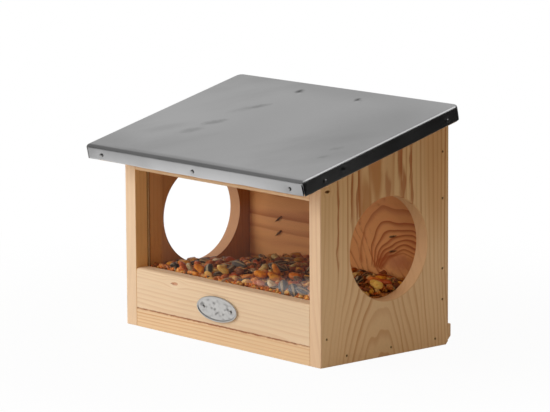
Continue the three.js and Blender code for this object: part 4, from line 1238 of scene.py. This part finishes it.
# Each kind: how many, rows and columns of its unit seed, and in millimetres its size and how
# far it may be lifted; the spread of its size, tilt and roll; where its places start; tones;
# its skin; and seeds placed one by one as x, y and lift in millimetres, yaw, tilt and colour
feedKinds = {
    "maize": {
        "name": "maizeKernels", "count": 165, "grid": (7, 10), "size": (9.6, 7.8, 4.8), "lift": (-0.8, 2.0),
        "spread": 0.14, "tilt": 0.5, "roll": 0.6, "start": 0.13,
        "radius": lambda u, v: (1 - (2 * v - 1) ** 4) ** 0.5 * (0.62 + 0.38 * v),
        "colours": [(226, 150, 40), (236, 172, 58), (208, 112, 30), (238, 206, 132), (196, 92, 40),
                    (228, 160, 70)],
        "mottle": 320.0, "shade": (0.72, 0.52, 0.35, 1), "rough": (0.42, 0.3), "relief": 0.1 * mm,
        "placed": [
            (-73, -38, 3.0, 0.2, 0.1, 232, 168, 48), (-65, -45, 2.0, 1.2, 0.8, 204, 104, 60),
            (-56, -45, 1.8, 1.5, 0.9, 196, 184, 152), (-46, -44, 2.8, 0.4, 0.5, 232, 146, 36),
            (-51, -41, 3.4, 1.9, 0.7, 196, 102, 50), (-25, -39, 4.2, 0.9, 0.6, 240, 206, 118),
            (3, -26, 3.6, 0.5, 0.3, 236, 150, 36), (12, -22, 4.4, 2.2, 0.2, 228, 142, 34),
            (20, -26, 3.4, 0.9, 0.4, 238, 166, 52), (7, -14, 6.6, 1.3, 1.1, 232, 156, 60),
            (26, -12, 3.8, 0.2, 0.2, 220, 128, 32), (38, -45, 2.4, 0.8, 0.8, 236, 222, 186),
            (80, 24, 4.0, 0.1, 0.1, 226, 156, 44), (84, 14, 4.6, 0.7, 0.3, 228, 140, 70),
            (90, 20, 3.0, 1.4, 0.3, 196, 96, 44), (93, 8, 3.6, 0.3, 0.4, 240, 204, 108)],
    },
    "sunflower": {
        "name": "sunflowerSeeds", "count": 70, "grid": (8, 12), "size": (13.5, 6.6, 4.0), "lift": (-0.6, 2.4),
        "spread": 0.16, "tilt": 0.42, "roll": 0.5, "start": 0.61,
        "radius": lambda u, v: np.sin(math.pi * v ** 0.72) ** 0.85,
        "colours": [(96, 66, 42), (122, 88, 56), (72, 48, 30), (144, 108, 70)],
        "mottle": 700.0, "shade": (0.7, 0.66, 0.62, 1), "rough": (0.6, 0.42), "relief": 0.08 * mm,
        "stripe": linear(196, 172, 136),
        "placed": [
            (-76, -45, 2.0, 2.6, 0.3, 66, 58, 52), (-36, -44, 3.2, -0.8, 0.55, 60, 56, 54),
            (-28, -20, 4.0, 0.1, 0.1, 92, 84, 78), (0, -6, 5.2, 0.6, 0.3, 88, 80, 74),
            (50, -45, 2.8, -0.7, 0.7, 96, 92, 96), (62, -46, 2.2, -0.5, 0.6, 84, 82, 88),
            (74, -45, 3.0, 0.5, 0.4, 104, 98, 98), (78, 4, 5.8, -0.9, 0.1, 50, 44, 40),
            (85, -7, 5.2, -0.8, 0.1, 62, 54, 50)],
    },
    "bit": {
        "name": "crackedBits", "count": 520, "grid": (5, 7), "size": (7.0, 5.4, 3.6), "lift": (-1.2, 1.6),
        "spread": 0.4, "tilt": 0.7, "roll": 0.9, "start": 0.37,
        "radius": lambda u, v: (1 - np.abs(2 * v - 1) ** 3) ** 0.5
        * (1 + 0.25 * np.cos(2 * u + 1) + 0.18 * np.sin(3 * u + 5 * v)),
        "colours": [(212, 124, 66), (228, 154, 88), (178, 98, 50), (140, 76, 38), (234, 192, 122),
                    (170, 104, 54)],
        "mottle": 600.0, "shade": (0.82, 0.68, 0.54, 1), "rough": (0.8, 0.6), "relief": 0.15 * mm,
        "placed": [
            (-14, -32, 3.6, 0.4, 0.3, 148, 98, 72), (26, -46, 2.2, 0.5, 0.5, 224, 150, 116),
            (84, -46, 2.0, 0.2, 0.4, 214, 160, 134), (92, 32, 3.0, 0.9, 0.3, 112, 66, 40)],
    },
    "grain": {
        "name": "smallGrain", "count": 2600, "grid": (5, 6), "size": (2.9, 2.2, 2.1), "lift": (-1.8, 0.4),
        "spread": 0.3, "tilt": 0.6, "roll": 1.5, "start": 0.83,
        "radius": lambda u, v: (1 - (2 * v - 1) ** 2) ** 0.5,
        "colours": [(228, 136, 52), (238, 168, 72), (208, 106, 40), (240, 190, 100), (188, 108, 48),
                    (216, 126, 54)],
        "mottle": 900.0, "shade": (0.86, 0.7, 0.52, 1), "rough": (0.6, 0.42), "relief": 0.06 * mm,
        "placed": [],
    },
}


def seedShape(look):
    # A unit seed along x: its kind's radius r(u, v) for v from end to end
    rows, columns = look["grid"]
    v = np.linspace(0, 1, rows)[:, None]
    u = np.linspace(0, 2 * math.pi, columns, endpoint=False)[None]
    radius = np.broadcast_to(np.maximum(look["radius"](u, v), 0), (rows, columns))
    x = np.broadcast_to(v - 0.5, (rows, columns))
    return np.stack([x, 0.5 * radius * np.cos(u), 0.5 * radius * np.sin(u)], -1).reshape(-1, 3)


def aboutAxis(axis, angle):
    # Rotation matrices about one axis, one for each angle
    first, second = (axis + 1) % 3, (axis + 2) % 3
    turn = np.zeros((len(angle), 3, 3))
    turn[:, axis, axis] = 1
    turn[:, first, first] = turn[:, second, second] = np.cos(angle)
    turn[:, second, first] = np.sin(angle)
    turn[:, first, second] = -np.sin(angle)
    return turn


def seedHeap(look):
    # All seeds of one kind as one mesh: unit seed times size, turned, and laid on the bed at
    # even, jittered places (shares of the golden pair); tone and pattern go into attributes
    shape, seed, count = feedShape, seedShape(look), look["count"]
    share = (look["start"] + np.arange(count)[:, None] * shape["golden"]) % 1
    jitter = random.uniform(-shape["jitter"], shape["jitter"], (count, 2)) * mm
    low, high = feedLow[:2], feedHigh[:2]
    x, y = (low + share * (high - low) + jitter).T
    yaw = random.uniform(0, 2 * math.pi, count)
    tilt = random.normal(0, look["tilt"] / 2, count)
    roll = random.normal(0, look["roll"] / 2, count)
    lift = random.uniform(*look["lift"], count) * mm
    palette = np.array([linear(*colour)[:3] for colour in look["colours"]])
    tone = palette[random.integers(0, len(palette), count)] * random.uniform(0.8, 1.15, (count, 1))
    # Seeds towards the back are darkened: painted shade
    tone *= np.interp(y, shape["shadeFrom"], shape["shade"])[:, None]
    mean = np.array(look["size"]) * mm
    size = mean * (1 + random.normal(0, look["spread"] / 2, (count, 3)).clip(-0.5, 0.5))
    if look["placed"]:
        # Loose seeds make room for the ones placed one by one
        hand = np.array(look["placed"], float)
        handX, handY, handLift = hand[:, :3].T * mm
        apart = np.hypot(x[:, None] - handX, y[:, None] - handY).min(1)
        lift = np.append(np.where(apart < shape["room"], np.minimum(lift, shape["under"]), lift), handLift)
        handPlace = handX, handY, *hand[:, 3:5].T, np.full(len(hand), shape["roll"])
        x, y, yaw, tilt, roll = np.hstack([(x, y, yaw, tilt, roll), handPlace])
        tone = np.concatenate([tone, [linear(*row[5:])[:3] for row in hand]])
        size = np.concatenate([size, np.tile(shape["larger"] * mean, (len(hand), 1))])
    turns = aboutAxis(2, yaw) @ aboutAxis(1, tilt) @ aboutAxis(0, roll)
    seeds = np.einsum("nij,nvj->nvi", turns, seed[None] * size[:, None])
    extent = np.abs(seeds).max(1)[:, :2]
    x, y = np.clip(np.stack([x, y], 1), low + extent, high - extent).T
    points = seeds + np.stack([x, y, feedHeight(x, y) + lift], -1)[:, None]
    rows, columns = look["grid"]
    face = np.array(gridFaces(rows, columns))
    faces = (face[None] + (np.arange(len(x)) * len(seed))[:, None, None]).reshape(-1, 4)
    mesh = addMesh(look["name"], points, faces.tolist())
    tone = np.repeat(np.column_stack([tone, np.ones(len(x))]), len(seed), 0)
    mesh.attributes.new("tone", "FLOAT_COLOR", "POINT").data.foreach_set("color", tone.ravel())
    # Around and along the seed, for every corner of every face
    row, column = (part[:, None] for part in np.divmod(np.arange(len(face)), columns))
    corner = np.stack([(column + [0, 1, 1, 0]) / columns, (row + [0, 0, 1, 1]) / (rows - 1)], -1)
    mesh.uv_layers.new(name="shell").data.foreach_set("uv", np.tile(corner.ravel(), len(x)))
    return cleanPiece(look["name"], mesh, 70, 0.001 * mm)


def seedMaterial(name, look):
    # Seed skin: the seed's own tone, mottled; a sunflower shell also has pale stripes along it
    material, tree, shader = newMaterial(name, {"Specular IOR Level": 0.3})
    place = objectPlace(tree)
    tone = addNode(tree, "Attribute", attribute_name="tone").outputs["Color"]
    height = mottle = noise(place, look["mottle"], 3.0)
    colour = blendColours(ramp(mottle, 0.35, 0.65), blendColours(1.0, tone, look["shade"], "MULTIPLY"), tone)
    if "stripe" in look:
        around = axesOf(addNode(tree, "UVMap", uv_map="shell").outputs[0])
        drift = product(noise(place, 120.0, 1.0), 2.2)
        wave = maths("SINE", total(product(around["X"], 2 * math.pi * 4), drift))
        stripe = product(ramp(wave, 0.25, 0.75), ramp(around["Y"], 0.02, 0.2), ramp(around["Y"], 1.0, 0.7))
        colour = blendColours(product(stripe, 0.6), colour, look["stripe"])
        height = total(product(wave, 0.4), mottle)
    surface(shader, colour, ramp(mottle, 0.3, 0.7, *look["rough"]), height, look["relief"])
    return material


def crumbMaterial():
    # Chaff and crumbs under the seeds: cells of brown and tan
    material, tree, shader = newMaterial("feedCrumbs")
    cells = addNode(tree, "TexVoronoi", {"Vector": objectPlace(tree), "Scale": 420.0}).outputs
    pick = axesOf(cells["Color"])["X"]
    colour = blendColours(pick, linear(112, 62, 30), linear(214, 138, 70))
    surface(shader, colour, ramp(pick, 0.0, 1.0, 0.85, 0.7), cells["Distance"], 0.8 * mm)
    return material


finished(feedBase(), "box", "feed_mix", crumbMaterial(), "feed_bed")
for kind, look in feedKinds.items():
    finished(seedHeap(look), "box", "feed_mix", seedMaterial(kind + "Skin", look))
print("feed laid")


# Camera, floor and light

# The focal length and the picture's width are in pixels
cameraShape = {
    "place": (1.8874, -1.6559, 0.5220), "focal": 3374.42, "wide": 550, "sensor": 36, "farthest": 60,
    "right": (0.65816636, 0.75284692, -0.00620952), "up": (-0.12124345, 0.11412837, 0.98603993),
    "back": (0.7430458, -0.64822545, 0.16639321),
}


def addCamera():
    shape = cameraShape
    data = bpy.data.cameras.new("camera")
    data.sensor_width = shape["sensor"]
    data.sensor_fit = "HORIZONTAL"
    data.lens = shape["focal"] * shape["sensor"] / shape["wide"]
    data.clip_end = shape["farthest"]
    camera = addObject("camera", data)
    turn = Matrix([shape["right"], shape["up"], shape["back"]]).transposed()
    camera.matrix_world = Matrix.Translation(shape["place"]) @ turn.to_4x4()
    bpy.context.scene.camera = camera


# White seen straight and through the pane; the floor's glow mirrored by the pane, a disc and a
# ring about the pane's middle, and by metal, near the box and on its left; the light dome, the
# room that metal mirrors, and the bright strip overhead
stageLook = {
    "reach": 14.0, "drop": 0.4 * mm, "near": (0.16, 0.5, 0.955, 1.0), "throughPane": 1.14,
    "paneMiddle": (0.05, 0, 0), "paneDisc": (0.285, 0.36, 1.0, 0.0), "paneRing": (0.62, 0.76, 0.1, 0.0),
    "metalGlow": (0.34, 0.80, 1.0, 0.12), "metalRight": (-0.12, 0.14, 1.0, 0.08),
    "towards": (-0.62, -0.76, 0.22), "dome": (-0.7, 1.0, 0.12, 0.82), "warm": (1.0, 0.70, 0.40, 1),
    "roomAcross": (-0.55, 0.15, 0.70, 0.06), "roomAlong": (-0.1, 0.40, 0.42, 1.0),
    "overhead": (0.325, 0.376, 0.867), "strip": (0.82, 0.94, 0.0, 1.5),
}
white = (1, 1, 1, 1)


def rayKinds(tree):
    # Which rays see the white stage, straight or through the pane, how bright it is to them,
    # and which ones are mirrored by metal or by either face of the pane
    path = addNode(tree, "LightPath").outputs
    glass = path["Is Transmission Ray"]
    thrown = product(glass, maths("GREATER_THAN", path["Glossy Depth"], 0.5))
    metal = product(path["Is Glossy Ray"], less(1.0, glass))
    seen = maths("MAXIMUM", path["Is Camera Ray"], less(glass, thrown))
    return seen, ramp(glass, 0.0, 1.0, 1.0, stageLook["throughPane"]), maths("MAXIMUM", metal, thrown), path


def addFloor():
    # A pale floor: the camera and the pane see it as white, with the box's shadow kept in it;
    # metal sees a bright sheet round the box and a dark room behind it
    look, reach = stageLook, stageLook["reach"]
    points = [(-reach, -reach, 0), (reach, -reach, 0), (reach, reach, 0), (-reach, reach, 0)]
    floor = addObject("floor", addMesh("floor", points, [(0, 1, 2, 3)]))
    floor.location.z = -look["drop"]
    material, tree, shader = newMaterial(
        "paleFloor", {"Base Color": (0.82, 0.82, 0.82, 1), "Roughness": 0.9, "Specular IOR Level": 0.0})
    place = objectPlace(tree)
    away, awayPane = norm(place), norm(offset(place, look["paneMiddle"]))
    seen, brightness, metal, path = rayKinds(tree)
    share = maths("MAXIMUM", product(seen, ramp(away, *look["near"])), metal)
    paneGlow = maths("MAXIMUM", ramp(awayPane, *look["paneDisc"]), ramp(awayPane, *look["paneRing"]))
    metalGlow = product(ramp(away, *look["metalGlow"]), ramp(axesOf(place)["X"], *look["metalRight"]))
    gloss = blendValues(path["Is Singular Ray"], metalGlow, paneGlow)
    glow = wire("Emission", {"Strength": blendValues(metal, brightness, gloss)})
    mixed = wire("MixShader", {0: share, 1: shader.outputs[0], 2: glow})
    fill(tree.nodes["Material Output"], {"Surface": mixed})
    floor.data.materials.append(material)


def addWorld():
    # White to the camera and to glass; a soft dome, brighter from the front left and warm from
    # the right, for the light; for metal, a room that is dark in front, on the right and low
    look = stageLook
    world = bpy.data.worlds.new("studio")
    bpy.context.scene.world = world
    world.use_nodes = True
    tree = world.node_tree
    tree.nodes.clear()
    sky = addNode(tree, "TexCoord").outputs["Generated"]
    axes = axesOf(sky)
    facing, overhead = (vectors("DOT_PRODUCT", sky, towards, output="Value")
                        for towards in (Vector(look["towards"]).normalized(), look["overhead"]))
    tint = blendColours(ramp(axes["X"], -0.2, 0.8), white, look["warm"])
    room = product(ramp(axes["X"], *look["roomAcross"]), ramp(axes["Y"], *look["roomAlong"]))
    room = total(room, ramp(overhead, *look["strip"]))
    seen, brightness, metal, _ = rayKinds(tree)
    strength = blendValues(seen, blendValues(metal, ramp(facing, *look["dome"]), room), brightness)
    colour = blendColours(maths("MAXIMUM", metal, seen), tint, white)
    addNode(tree, "OutputWorld", {"Surface": wire("Background", {"Color": colour, "Strength": strength})})


def addLamp(name, place, target, size, power, colour=(1, 1, 1)):
    data = bpy.data.lights.new(name, "AREA")
    data.shape = "RECTANGLE"
    data.size, data.size_y = size
    data.energy = power
    data.color = colour
    lamp = addObject(name, data)
    lamp.location = place
    lamp.rotation_euler = (Vector(target) - Vector(place)).to_track_quat("-Z", "Y").to_euler()
    lamp.visible_camera = lamp.visible_glossy = False


addCamera()
addFloor()
addWorld()
addLamp("frontSoftbox", (-0.90, -1.30, 0.80), (0, 0, 0.09), (1.3, 1.0), 11.4)
addLamp("topSoftbox", (0.35, 0.25, 1.7), (0, 0, 0.1), (0.9, 0.9), 3)
addLamp("sideCard", (0.55, -0.05, 0.05), (0.1, -0.02, 0.06), (0.1, 0.4), 0.15, (1.0, 0.78, 0.52))
bpy.context.scene.view_settings.view_transform = "Standard"
print("stage set")
